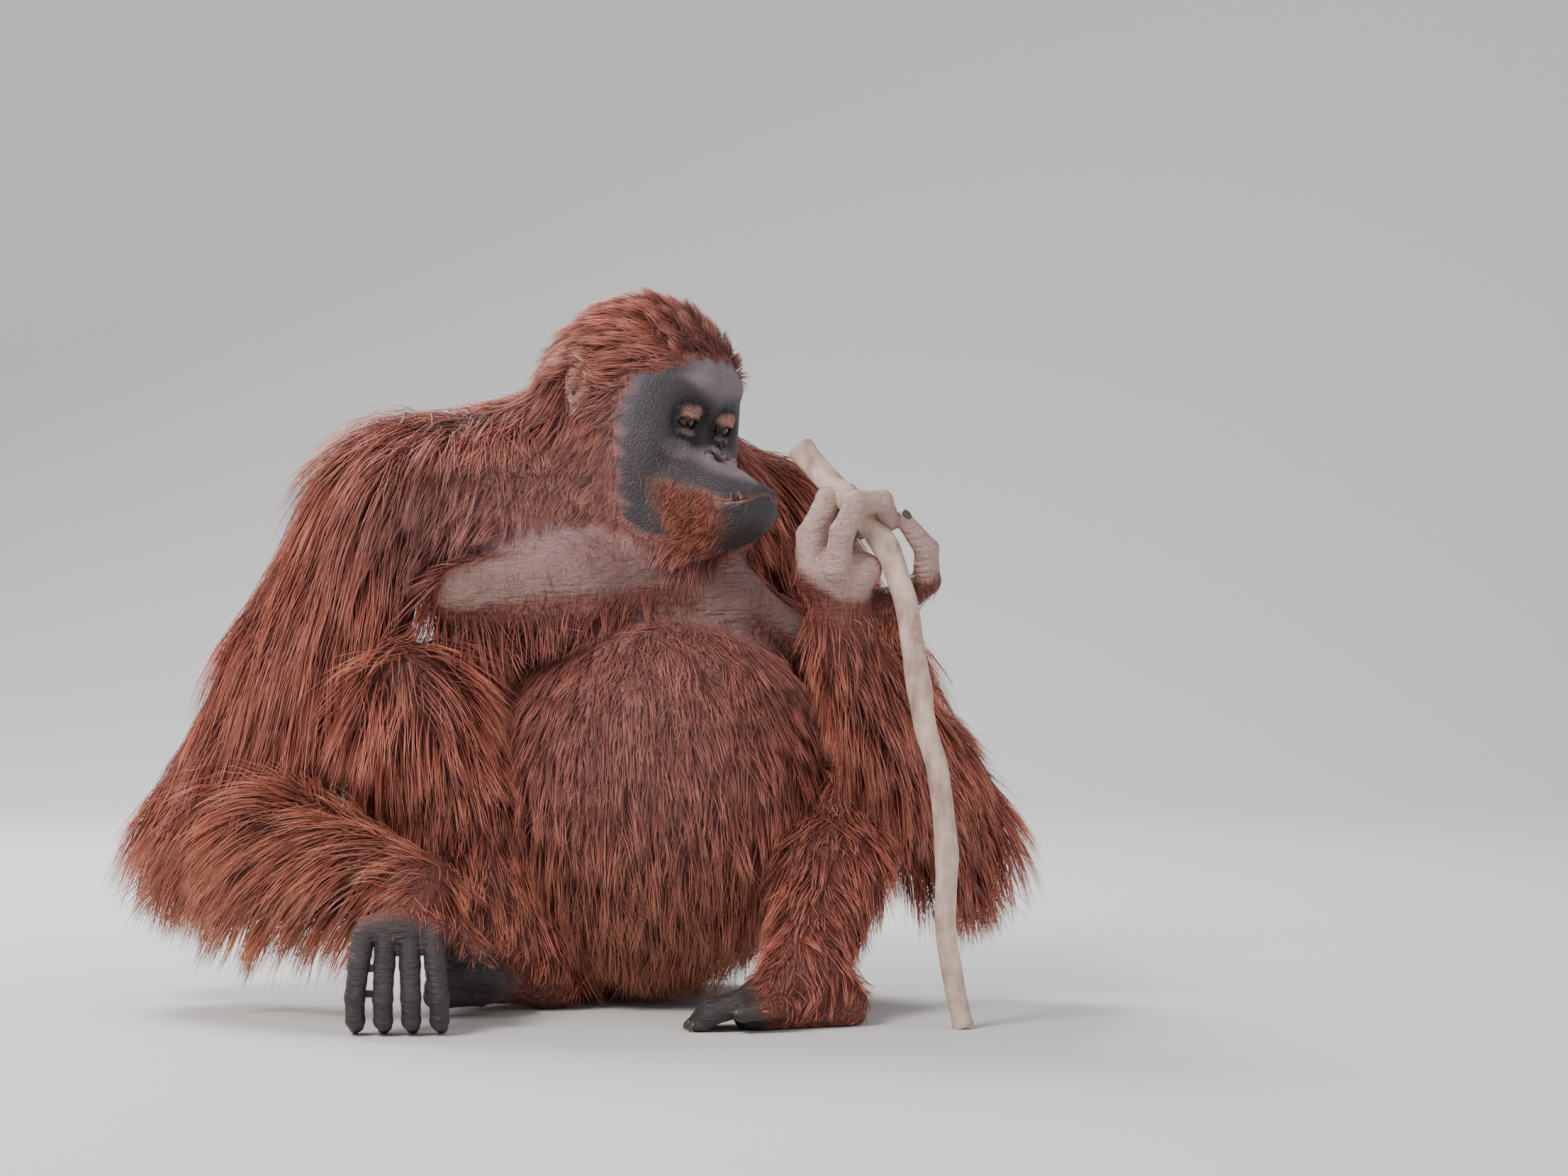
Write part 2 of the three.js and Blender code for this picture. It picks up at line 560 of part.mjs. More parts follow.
function handLeft() {
  const w = joint.wristLeft;
  const side = v3(1, -0.35, 0);
  const palm = tube(
    [w.clone().add(v3(8, 16, -16)), w.clone().add(v3(4, 0, 6)), w.clone().add(v3(6, -8, 36)),
      w.clone().add(v3(-2, -20, 66))],
    [[28, 24], [33, 22], [38, 22], [32, 16]], 12, side,
  );
  const back = v3(0, 1, 0);
  const index = digit(
    [[258, -254, 404], [263, -264, 436], [277, -262, 462], [298, -252, 463], [306, -234, 446], [292, -216, 434]],
    [14, 12, 11.5, 11, 9.5, 8], back,
  );
  const middle = digit(
    [[236, -232, 404], [239, -228, 438], [251, -216, 464], [268, -202, 468], [284, -200, 452]],
    [14, 12.5, 12, 11, 8.5], back,
  );
  const ringFinger = digit(
    [[232, -216, 400], [234, -206, 432], [246, -194, 454], [264, -186, 452], [278, -190, 436]],
    [13, 12, 11, 10, 8], back,
  );
  const little = digit(
    [[236, -204, 394], [240, -192, 418], [252, -182, 434], [268, -180, 428], [278, -188, 414]],
    [12, 10, 9.5, 9, 7.5], back,
  );
  const thumb = digit(
    [[272, -204, 366], [312, -210, 372], [338, -218, 392], [338, -228, 420], [318, -238, 446]],
    [21, 17, 14, 12, 9.5], back,
  );
  return join([palm, index, middle, ringFinger, little, thumb]);
}

function footSolid(field, ankle, toes) {
  return join([ballOf(field, ankle, footBall, cell.foot), ...toes]);
}

function toesRight() {
  const b = footRight.ball;
  return [[0, 2, 30, 13], [6, -6, 10, 14], [0, 0, -10, 13], [-8, 8, -22, 11]].map(([x, y, z, r]) =>
    digit(
      [[b.x + 6, b.y + 6, b.z + z * 0.5], [b.x - 14 + x * 0.4, b.y - 10 + y, b.z + z * 0.7],
        [b.x + x + 4, b.y - 30 + y, b.z + z * 0.62], [b.x + 32 + x, b.y - 26 + y, b.z + z * 0.45 - 4],
        [b.x + 44 + x, b.y - 10 + y, b.z + z * 0.4 - 6]],
      [r + 4, r + 2, r, r - 1, r - 3], v3(0, 0, 1),
    ));
}

function toesLeft() {
  const b = footLeft.ball;
  const toes = [[0, -22, 11.5], [-3, -6, 12], [-2, 10, 11], [4, 24, 10]].map(([x, y, r]) =>
    digit(
      [[b.x + 8, b.y + y * 0.6, b.z + 2], [b.x - 18 + x, b.y + y - 4, b.z + 5],
        [b.x - 42 + x, b.y + y - 6, b.z - 2], [b.x - 54 + x, b.y + y - 4, b.z - 14]],
      [r + 4, r + 1, r, r - 2.5], v3(0, 1, 0),
    ));
  const bigToe = digit(
    [[b.x + 20, b.y - 18, b.z + 4], [b.x + 8, b.y - 36, b.z + 4], [b.x - 16, b.y - 44, b.z - 2]],
    [14, 11, 8.5], v3(0, 1, 0),
  );
  return [...toes, bigToe];
}

// Coat locks
let seed = 20;
const random = () => {
  seed = (seed * 1664525 + 1013904223) % 4294967296;
  return seed / 4294967296;
};
const vary = (value, share) => value * (1 + share * (2 * random() - 1));

// The point where a ray from inside the flesh comes out of it.
function surfaceFrom(field, from, way) {
  const p = from.clone();
  for (let i = 0; i < 60; i++) {
    const d = field(p.x, p.y, p.z);
    if (d > -0.2) break;
    p.addScaledVector(way, Math.max(-d * 0.8, 0.6));
  }
  return pullTo(field, p);
}

// A flat lock that leaves the skin along the lie of the coat, keeps over the flesh and hangs past it.
function lockForm(field, root, lie, { length, width, thick = 5, droop = 0.5, lift = 9, sway = 0 }) {
  const normal = gradient(field, root).normalize();
  const way = lie.clone().addScaledVector(normal, -lie.dot(normal) + 0.18).normalize();
  const points = [root.clone().addScaledVector(normal, -7).addScaledVector(way, -4)];
  const steps = 3;
  const p = root.clone().addScaledVector(normal, -1);
  const flow = way.clone();
  const side = new THREE.Vector3().crossVectors(normal, way).normalize();
  for (let i = 1; i <= steps; i++) {
    flow.add(v3(0, 0, -droop / steps)).addScaledVector(side, (sway * i) / steps).normalize();
    p.addScaledVector(flow, length / steps);
    const d = field(p.x, p.y, p.z);
    const keep = (lift * i) / steps;
    if (d < keep) p.addScaledVector(gradient(field, p).normalize(), keep - d);
    p.z = Math.max(p.z, thick + 1);
    points.push(p.clone());
  }
  const bulge = [0.75, 1, 0.8, 0.1];
  return { points, sizes: bulge.map((b) => [(b * width) / 2, (Math.max(b, 0.3) * thick) / 2]), side };
}

// A lock cut down to a share of its length keeps its path and still ends in a point.
function lockSolid(form, share) {
  const [root, ...rest] = form.points;
  const path = new THREE.CatmullRomCurve3([root, ...rest]);
  const points = form.sizes.map((_, i) => (i ? path.getPoint((i / (form.sizes.length - 1)) * share) : root));
  return tube(points, form.sizes, 3, form.side);
}

// Locks round a bone: rings along it, each turned a little, with the lie running down the coat.
function boneLocks(field, a, b, lie, { rows, count, from = 0.1, to = 0.9, arc = [0, 360], toward }, style) {
  const way = b.clone().sub(a).normalize();
  const face = toward.clone().addScaledVector(way, -toward.dot(way)).normalize();
  const other = new THREE.Vector3().crossVectors(way, face);
  const made = [];
  for (let i = 0; i < rows; i++)
    for (let j = 0; j < count; j++) {
      const t = from + ((to - from) * (i + 0.25 * random())) / Math.max(rows - 1, 1);
      const angle = rad(arc[0] + ((arc[1] - arc[0]) * (j + 0.5 * (i % 2) + 0.2 * random())) / count);
      const out = face.clone().multiplyScalar(Math.cos(angle)).addScaledVector(other, Math.sin(angle));
      const root = surfaceFrom(field, mix(a, b, t), out);
      if (root.z < 14) continue;
      made.push(lockForm(field, root, lie, {
        ...style, length: vary(style.length, 0.18), width: vary(style.width, 0.12), sway: 0.3 * (random() - 0.5),
      }));
    }
  return made;
}

const down = v3(0, 0, -1);
const wayOf = (a, b) => b.clone().sub(a).normalize();
const upperRightWay = wayOf(joint.shoulderRight, joint.elbowRight);
const upperLeftWay = wayOf(joint.shoulderLeft, joint.elbowLeft);
const coat = {
  upper_arm_right: () => boneLocks(armRightField, joint.shoulderRight, joint.elbowRight,
    upperRightWay.clone().add(v3(-0.1, 0, -0.25)),
    { rows: 4, count: 6, from: 0.24, to: 0.9, arc: [-95, 185], toward: v3(-0.8, -0.2, 0.6) },
    { length: 104, width: 48, lift: 18, droop: 0.35, thick: 7 }),
  forearm_right: () => boneLocks(armRightField, joint.elbowRight, joint.wristRight,
    v3(-0.55, 0.35, -0.55),
    { rows: 4, count: 5, from: 0.12, to: 0.8, arc: [-120, 150], toward: v3(-0.3, -0.8, 0.3) },
    { length: 88, width: 44, lift: 15, droop: 0.5, thick: 7 }),
  upper_arm_left: () => boneLocks(armLeftField, joint.shoulderLeft, joint.elbowLeft,
    upperLeftWay.clone().add(v3(0.15, 0, -0.4)),
    { rows: 4, count: 5, from: 0.24, to: 0.9, arc: [-120, 140], toward: v3(0.9, 0.4, 0.2) },
    { length: 104, width: 48, lift: 17, droop: 0.4, thick: 7 }),
  forearm_left: () => boneLocks(armLeftField, joint.elbowLeft, joint.wristLeft,
    v3(0.35, 0.45, -0.75),
    { rows: 4, count: 5, from: 0.1, to: 0.78, arc: [0, 330], toward: v3(0.6, 0, 0.5) },
    { length: 88, width: 38, lift: 12, droop: 0.9, thick: 6 }),
  thigh_right: () => boneLocks(legRightField, joint.hipRight, joint.kneeRight,
    v3(-0.1, -0.05, -1),
    { rows: 3, count: 7, from: 0.5, to: 1, arc: [-125, 125], toward: v3(-0.6, -0.5, 0.7) },
    { length: 84, width: 40, lift: 11, droop: 0.5, thick: 6 }),
  shin_right: () => boneLocks(legRightField, joint.kneeRight, joint.ankleRight,
    v3(0.2, 0.1, -1),
    { rows: 3, count: 3, from: 0.3, to: 0.8, arc: [-70, 70], toward: v3(-0.7, -0.6, 0) },
    { length: 60, width: 30, lift: 7, droop: 0.3, thick: 5 }),
  thigh_left: () => boneLocks(legLeftField, joint.hipLeft, joint.kneeLeft,
    v3(0.25, 0, -1),
    { rows: 3, count: 6, from: 0.5, to: 1, arc: [-100, 140], toward: v3(0.5, 0.6, 0.6) },
    { length: 90, width: 42, lift: 12, droop: 0.6, thick: 6 }),
  shin_left: () => boneLocks(legLeftField, joint.kneeLeft, joint.ankleLeft,
    v3(0.3, 0, -1),
    { rows: 4, count: 3, from: 0.2, to: 0.85, arc: [-60, 80], toward: v3(1, 0.1, 0) },
    { length: 82, width: 34, lift: 10, droop: 0.8, thick: 6 }),
  belly: () => boneLocks(chestField, inBody(120, 12, 330), inBody(120, 12, 90),
    down,
    { rows: 3, count: 8, from: 0.42, to: 1, arc: [-92, 92], toward: ahead },
    { length: 88, width: 46, lift: 9, droop: 0.6, thick: 6 }),
  rump: () => boneLocks(chestField, inBody(0, 0, 340), inBody(0, 0, 70),
    down,
    { rows: 4, count: 7, from: 0.1, to: 0.9, arc: [70, 290], toward: ahead },
    { length: 96, width: 54, lift: 15, droop: 0.3, thick: 7 }),
  chest: () => boneLocks(chestField, inBody(0, 0, 520), inBody(0, 0, 380),
    down,
    { rows: 4, count: 6, from: -0.35, to: 0.9, arc: [100, 260], toward: ahead },
    { length: 96, width: 54, lift: 15, droop: 0.3, thick: 7 }),
  head: () => boneLocks(chestField, inHead(25, 0, 10), inHead(-60, 0, -30),
    headWay(-0.8, 0, -0.6),
    { rows: 3, count: 5, from: 0.1, to: 0.95, arc: [-75, 75], toward: headWay(-0.2, 0, 1) },
    { length: 50, width: 38, lift: 9, droop: 0.2, thick: 5 }),
};

// A solid with every vertex moved out along its mean normal.
function swell(solid, by) {
  const { vertProperties, triVerts } = solid.getMesh();
  const g = new THREE.BufferGeometry();
  g.setAttribute("position", new THREE.BufferAttribute(new Float32Array(vertProperties), 3));
  g.setIndex(new THREE.BufferAttribute(new Uint32Array(triVerts), 1));
  g.computeVertexNormals();
  const p = g.attributes.position;
  const n = g.attributes.normal;
  for (let i = 0; i < p.count; i++)
    p.setXYZ(i, p.getX(i) + by * n.getX(i), p.getY(i) + by * n.getY(i), p.getZ(i) + by * n.getZ(i));
  return solidFrom(p.array, triVerts);
}

// The flesh, parted where the body's parts have names
const trunk = skinOf(chestField, low, high, cell.trunk);
const legRight = skinOf(legRightField, low, high, cell.limb).intersect(cuts.leg_right(0));
const legLeft = skinOf(legLeftField, low, high, cell.limb).intersect(cuts.leg_left(0));
const armNames = ["forearm_right", "forearm_left", "upper_arm_right", "upper_arm_left"];
const plain = {
  stick: stickSolid(0),
  eye_left: ball(eyes.left, eyeRadius),
  eye_right: ball(eyes.right, eyeRadius),
  hand_right: handRight().subtract(cuts.forearm_right(gap)),
  hand_left: handLeft().subtract(join([cuts.forearm_left(gap), stickSolid(gap)])),
  foot_right: footSolid(legRightField, joint.ankleRight, toesRight()).subtract(cuts.shin_right(gap)),
  foot_left: footSolid(legLeftField, joint.ankleLeft, toesLeft()).subtract(cuts.shin_left(gap)),
  head: headSolid().intersect(headBlock(0)),
  neck: trunk.intersect(neckBlock(0)),
};
const stubs = join([cuts.stub_right(gap), cuts.stub_left(gap)]);
const torso = trunk.subtract(join([headBlock(gap), neckBlock(gap), stubs]));
for (const [side, field] of [["right", armRightField], ["left", armLeftField]]) {
  const arm = skinOf(field, low, high, cell.limb);
  const forearm = "forearm_" + side;
  plain[forearm] = arm.intersect(cuts[forearm](0));
  plain["upper_arm_" + side] = arm.subtract(cuts[forearm](gap)).intersect(cuts["upper_arm_" + side](0));
}
plain.chest = torso.subtract(abdomenBlock(gap)).add(breasts().subtract(join([headBlock(gap), neckBlock(gap)])));
plain.head = plain.head.subtract(stubs);
plain.shin_right = legRight.intersect(cuts.shin_right(0));
plain.shin_left = legLeft.intersect(cuts.shin_left(0));
plain.thigh_right = legRight.subtract(join([cuts.shin_right(gap), footBlock(joint.ankleRight)]));
plain.thigh_left = legLeft.subtract(join([cuts.shin_left(gap), footBlock(joint.ankleLeft)]));
const pressed = (x, y, z) =>
  Math.max(chestField(x, y, z), ...[legRightField, legLeftField, armLeftField].map((f) => pressGap - f(x, y, z)));
plain.belly = skinOf(pressed, low, high, cell.trunk)
  .intersect(abdomenBlock(0).intersect(bellyBlock(0)));
plain.rump = torso.intersect(abdomenBlock(0)).subtract(bellyBlock(gap));
plain.ear_right = earSolid(-1);
plain.ear_left = earSolid(1);

// Where two parts press together the later one gives way
const order = [
  "stick", "eye_left", "eye_right", "hand_right", "hand_left", "foot_right", "foot_left", ...armNames,
  "shin_right", "shin_left", "thigh_right", "thigh_left", "head", "neck", "chest", "belly", "rump",
  "ear_right", "ear_left",
];
const swollen = {};
for (const name of order) {
  const others = Object.values(swollen).filter((other) => meets(plain[name], other));
  const solid = others.length ? plain[name].subtract(join(others)) : plain[name];
  plain[name] = largest(solid.subtract(ground(0)));
  swollen[name] = swell(plain[name], 0.8 * gap);
}

// Fuse the coat: a lock that would cross another part is made shorter, or else left out
const done = {};
const placed = [];
for (const name of order) {
  const kept = [];
  for (const lock of coat[name] ? coat[name]() : []) {
    const clear = [1, 0.8, 0.6, 0.42]
      .map((share) => lockSolid(lock, share))
      .find((solid) =>
        order.every((other) => other === name || !meets(solid, swollen[other])) &&
        placed.every((other) => !meets(solid, other)));
    if (clear) kept.push(clear);
  }
  placed.push(...kept.map((solid) => swell(solid, gap)));
  done[name] = largest(join([plain[name], ...kept]).subtract(ground(0)));
}

// Materials, one for each finish of the living animal
const finish = {
  coat: { color: 0xa5482f, roughness: 0.75 },
  skin: { color: 0x8b6a66, roughness: 0.6 },
  face: { color: 0x574847, roughness: 0.62 },
  eye: { color: 0x2a1710, roughness: 0.12 },
  wood: { color: 0xcbb39b, roughness: 0.8 },
};
const finishOf = (name) => {
  if (name.startsWith("eye")) return finish.eye;
  if (name === "stick") return finish.wood;
  if (name === "head" || name.startsWith("ear")) return finish.face;
  return name.startsWith("hand") || name.startsWith("foot") ? finish.skin : finish.coat;
};

const orangutan = new THREE.Group();
for (const [name, solid] of Object.entries(done)) {
  const { vertProperties, triVerts } = solid.getMesh();
  const geometry = new THREE.BufferGeometry();
  geometry.setAttribute("position", new THREE.BufferAttribute(vertProperties, 3));
  geometry.setIndex(new THREE.BufferAttribute(triVerts, 1));
  geometry.computeVertexNormals();
  const mesh = new THREE.Mesh(geometry, new THREE.MeshStandardMaterial({ ...finishOf(name), metalness: 0 }));
  mesh.name = name;
  orangutan.add(mesh);
}
const extent = new THREE.Box3().setFromObject(orangutan);
orangutan.position.set(-(extent.min.x + extent.max.x) / 2, -(extent.min.y + extent.max.y) / 2, -extent.min.z);

export default orangutan;
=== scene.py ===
# %% [markdown]
# # A sitting orangutan with a stick
#
# An adult female orangutan sits slouched, one knee drawn up, her right hand on the ground and her left
# round a cut branch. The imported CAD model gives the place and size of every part. Here one smooth skin
# takes the place of its flesh, a coat of solid hair strands grows on it, and the eyes, nails and branch
# are pieces of their own.

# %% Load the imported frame
import math
import bmesh
import bpy
import mathutils
import numpy as np
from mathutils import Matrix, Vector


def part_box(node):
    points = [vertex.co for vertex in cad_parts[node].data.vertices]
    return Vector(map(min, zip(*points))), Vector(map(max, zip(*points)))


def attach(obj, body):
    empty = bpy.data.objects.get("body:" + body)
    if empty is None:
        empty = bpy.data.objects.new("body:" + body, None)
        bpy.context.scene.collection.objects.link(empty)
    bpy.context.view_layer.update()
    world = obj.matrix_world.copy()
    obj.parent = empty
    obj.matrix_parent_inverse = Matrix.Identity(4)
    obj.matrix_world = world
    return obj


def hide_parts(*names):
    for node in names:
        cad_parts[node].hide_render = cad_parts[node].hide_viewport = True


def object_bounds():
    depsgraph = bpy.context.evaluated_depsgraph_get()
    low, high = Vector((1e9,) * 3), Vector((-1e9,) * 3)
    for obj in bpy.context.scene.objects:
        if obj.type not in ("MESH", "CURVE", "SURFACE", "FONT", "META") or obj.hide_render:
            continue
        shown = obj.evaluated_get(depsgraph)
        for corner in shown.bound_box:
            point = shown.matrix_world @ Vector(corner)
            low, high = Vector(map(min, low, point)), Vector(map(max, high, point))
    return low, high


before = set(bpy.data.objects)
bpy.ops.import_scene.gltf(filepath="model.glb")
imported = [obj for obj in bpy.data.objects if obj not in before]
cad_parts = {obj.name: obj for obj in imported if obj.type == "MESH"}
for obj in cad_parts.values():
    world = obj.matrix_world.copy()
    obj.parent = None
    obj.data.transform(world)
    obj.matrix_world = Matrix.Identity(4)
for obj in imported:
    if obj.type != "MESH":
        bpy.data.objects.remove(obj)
cad_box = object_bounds()
print("frame:", len(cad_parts), "nodes, box", [[round(c, 3) for c in corner] for corner in cad_box])

# %% [markdown]
# ## The pose
#
# The skeleton repeats the named joints of the CAD model, in metres. The CAD centres the finished model
# on its floor point, so one known part, the left eye, says how far the pose was shifted.

# %% Frames of the body and the head
MM = 0.001


def unit(v):
    v = np.asarray(v, float)
    return v / np.linalg.norm(v)


def rotation(axis, degrees):
    x, y, z = unit(axis)
    c, s = math.cos(math.radians(degrees)), math.sin(math.radians(degrees))
    return np.array([
        [c + x * x * (1 - c), x * y * (1 - c) - z * s, x * z * (1 - c) + y * s],
        [y * x * (1 - c) + z * s, c + y * y * (1 - c), y * z * (1 - c) - x * s],
        [z * x * (1 - c) - y * s, z * y * (1 - c) + x * s, c + z * z * (1 - c)],
    ])


BODY_TURN, HEAD_TURN, HEAD_PITCH, HEAD_ROLL = 27, 50, 12, 9
turn = math.radians(BODY_TURN)
AHEAD = np.array([math.sin(turn), -math.cos(turn), 0])
LEFTWARD = np.array([math.cos(turn), math.sin(turn), 0])
UP = np.array([0.0, 0, 1])
SEAT = np.array([30.0, 65, 0])
HEAD_MIDDLE = np.array([86.0, -18, 566])
HEAD_AXES = rotation(UP, HEAD_TURN - 90) @ rotation((0, 1, 0), HEAD_PITCH) @ rotation((1, 0, 0), -HEAD_ROLL)


def in_head_pose(f, l, u):
    return HEAD_AXES @ np.array([f, l, u], float) + HEAD_MIDDLE


EYE_PLACE = {"left": (72, 25, -21), "right": (72, -25, -21)}
low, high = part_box("eye_left")
shift = (np.array(low) + np.array(high)) / 2 / MM - in_head_pose(*EYE_PLACE["left"])
print("the pose is shifted by", np.round(shift, 1), "mm")


def pose(x, y, z):
    return (np.array([x, y, z], float) + shift) * MM


def in_body(f, l, u):
    return (SEAT + f * AHEAD + l * LEFTWARD + u * UP + shift) * MM


def in_head(f, l, u):
    return (in_head_pose(f, l, u) + shift) * MM


def head_way(f, l, u):
    return unit(HEAD_AXES @ np.array([f, l, u], float))


# %% Joints of the skeleton
BONE = {"humerus": 345, "forearm": 305, "thigh": 230, "shin": 240}


def along(start, length, way):
    return start + length * MM * unit(way)


def mix(a, b, t):
    return a + (b - a) * t


J = {"hip_right": in_body(5, -75, 115), "hip_left": in_body(5, 75, 115),
     "shoulder_right": pose(-141, -46, 466), "shoulder_left": pose(197, 126, 428)}
for start, end, bone, right_way, left_way in (
        ("hip", "knee", "thigh", (-88, -137, 163), (150, -128, 50)),
        ("knee", "ankle", "shin", (101, 4, -218), (-40, -190, -124)),
        ("shoulder", "elbow", "humerus", (-174, -4, -303), (160, -118, -262)),
        ("elbow", "wrist", "forearm", (210, -215, -45), (-108, -222, 192))):
    for side, way in (("_right", right_way), ("_left", left_way)):
        J[end + side] = along(J[start + side], BONE[bone], way)
print("joints:", {name: np.round(p, 3).tolist() for name, p in J.items()})

# %% [markdown]
# ## Camera, floor and light
#
# The photo was taken level with the animal through a long lens, so the camera stands six metres off,
# two degrees above the horizon, and sees a frame 1.44 m wide at the animal. The daylight there came
# from the sky behind and above, and rimmed the coat. One broad lamp behind, one in front, a weak fill
# and an even pale surround give the same light in a studio.

# %% Small helpers for objects and meshes
def add_object(name, data):
    thing = bpy.data.objects.new(name, data)
    bpy.context.scene.collection.objects.link(thing)
    return thing


def shade_smooth(mesh):
    mesh.polygons.foreach_set("use_smooth", np.ones(len(mesh.polygons), bool))


# %% Camera
VIEW_WIDTH, CAMERA_AWAY, CAMERA_RISE = 1.44, 6.0, 2.0
aim = pose(212, 0, 378)
camera_data = bpy.data.cameras.new("camera")
camera_data.sensor_width = 36
camera_data.lens = 36 * CAMERA_AWAY / VIEW_WIDTH
camera_data.clip_end = 50
camera = add_object("camera", camera_data)
rise = math.radians(CAMERA_RISE)
camera.location = aim + CAMERA_AWAY * np.array([0, -math.cos(rise), math.sin(rise)])
camera.rotation_euler = (math.pi / 2 - rise, 0, 0)
bpy.context.scene.camera = camera
print("camera at", [round(c, 2) for c in camera.location], "lens", round(camera_data.lens, 1), "mm")

# %% Floor, curved up into a wall so that no horizon shows
FLOOR_HALF, FLOOR_FRONT, WALL_AT, WALL_TOP = 8.0, -9.0, 2.6, 6.0
BEND, BEND_STEPS = 1.6, 24
profile = [(FLOOR_FRONT, 0.0), (WALL_AT, 0.0)]
for i in range(1, BEND_STEPS + 1):
    angle = math.pi / 2 * i / BEND_STEPS
    profile.append((WALL_AT + BEND * math.sin(angle), BEND * (1 - math.cos(angle))))
profile.append((WALL_AT + BEND, WALL_TOP))
floor_points = [(x, y, z) for y, z in profile for x in (-FLOOR_HALF, FLOOR_HALF)]
floor_faces = [(2 * i, 2 * i + 1, 2 * i + 3, 2 * i + 2) for i in range(len(profile) - 1)]
floor_mesh = bpy.data.meshes.new("floor")
floor_mesh.from_pydata(floor_points, [], floor_faces)
shade_smooth(floor_mesh)
floor = add_object("floor", floor_mesh)
floor_finish = bpy.data.materials.new("pale floor")
floor_finish.use_nodes = True
floor_shader = floor_finish.node_tree.nodes["Principled BSDF"]
floor_shader.inputs["Base Color"].default_value = (0.74, 0.73, 0.71, 1)
floor_shader.inputs["Roughness"].default_value = 0.85
floor_mesh.materials.append(floor_finish)
print("floor:", len(floor_faces), "faces, bent up", BEND, "m before the wall")


# %% Lamps
def lamp(name, place, size, watts, colour):
    data = bpy.data.lights.new(name, "AREA")
    data.shape = "DISK"
    data.size = size
    data.energy = watts
    data.color = colour
    thing = add_object(name, data)
    thing.location = place
    way = aim - np.array(place)
    tilt = math.atan2(math.hypot(way[0], way[1]), -way[2])
    thing.rotation_euler = (tilt, 0, math.atan2(way[0], -way[1]) + math.pi)
    print("lamp", name + ":", watts, "W,", size, "m across")


lamp("sky in front", (-1.5, -2.3, 2.9), 1.3, 112, (1.0, 0.98, 0.95))
lamp("sky behind", (-1.1, 1.9, 2.3), 1.4, 105, (0.95, 0.98, 1.0))
lamp("soft fill", (2.6, -1.6, 1.2), 2.0, 16, (1.0, 0.97, 0.93))
world = bpy.data.worlds.new("surround")
world.use_nodes = True
world.node_tree.nodes["Background"].inputs["Color"].default_value = (0.86, 0.9, 0.95, 1)
world.node_tree.nodes["Background"].inputs["Strength"].default_value = 0.6
bpy.context.scene.world = world

# %% [markdown]
# ## The flesh as a field
#
# Muscle and fat run into one another with no edge, so the flesh is described as a distance field:
# round cones for limbs, ellipsoids for the skull, belly and cheeks, joined by a smooth minimum. Each
# form only fills the small box of the grid that it can reach, which keeps a fine grid quick.


# %% Forms and how they join
def cone(a, ra, b, rb, k, cut=False):
    return {"kind": "cone", "a": a, "ra": ra * MM, "b": b, "rb": rb * MM, "k": k * MM, "cut": cut}


def egg(centre, radii, axes, k, cut=False):
    """An ellipsoid, with its radii along three axes."""
    return {"kind": "egg", "c": centre, "r": np.array(radii) * MM, "axes": np.array(axes), "k": k * MM,
            "cut": cut}


def chain(points, radii, k, cut=False):
    """A bent rod of round cones through points."""
    return [cone(a, ra, b, rb, k, cut) for a, b, ra, rb in zip(points, points[1:], radii, radii[1:])]


# %% Distance to a form
def distance(form, p):
    if form["kind"] == "egg":
        q = (p - form["c"]) @ form["axes"].T
        k0 = np.linalg.norm(q / form["r"], axis=-1)
        k1 = np.linalg.norm(q / form["r"] ** 2, axis=-1)
        return k0 * (k0 - 1) / np.maximum(k1, 1e-9)
    a, b, ra, rb = form["a"], form["b"], form["ra"], form["rb"]
    ba = b - a
    l2 = ba @ ba
    rr = ra - rb
    a2 = l2 - rr * rr
    pa = p - a
    y = pa @ ba
    z = y - l2
    x2 = np.sum((pa * l2 - ba * y[..., None]) ** 2, axis=-1)
    kk = np.sign(rr) * rr * rr * x2
    side = (np.sqrt(x2 * a2 / l2) + y * rr) / l2 - ra
    start = np.sqrt(x2 + y * y * l2) / l2 - ra
    end = np.sqrt(x2 + z * z * l2) / l2 - rb
    d = np.where(np.sign(y) * a2 * y * y * l2 < kk, start, side)
    return np.where(np.sign(z) * a2 * z * z * l2 > kk, end, d)


# %% Joining forms
def smooth_min(a, b, k):
    h = np.maximum(k - np.abs(a - b), 0) / k
    return np.minimum(a, b) - h * h * k / 4


def reach_of(form, margin):
    if form["kind"] == "egg":
        half = np.sqrt(((form["axes"] * form["r"][:, None]) ** 2).sum(axis=0)) + margin
        return form["c"] - half, form["c"] + half
    fat = np.array([form["ra"], form["rb"]])
    ends = np.array([form["a"], form["b"]])
    return (ends - fat[:, None]).min(axis=0) - margin, (ends + fat[:, None]).max(axis=0) + margin


BAND, NEAR, CUT_NEAR = 0.05, 0.03, 0.012


def exact(forms, p):
    """The field of a list of forms, worked out at points instead of read from a grid."""
    d = np.full(len(p), BAND)
    for form in forms:
        lo, hi = reach_of(form, CUT_NEAR if form["cut"] else NEAR)
        near = np.all((p > lo) & (p < hi), axis=1)
        if not near.any():
            continue
        q = distance(form, p[near])
        d[near] = -smooth_min(-d[near], q, form["k"]) if form["cut"] else smooth_min(d[near], q, form["k"])
    return d


# %% Trunk, head and limbs
UPRIGHT = [AHEAD, LEFTWARD, UP]
SKULL = [head_way(1, 0, 0), head_way(0, 1, 0), head_way(0, 0, 1)]


def arm(shoulder, elbow, wrist):
    mid, low_arm = mix(shoulder, elbow, 0.45), mix(elbow, wrist, 0.35)
    return [cone(shoulder, 58, mid, 51, 34), cone(mid, 51, elbow, 43, 24),
            cone(elbow, 43, low_arm, 46, 24), cone(low_arm, 46, wrist, 26, 24)]


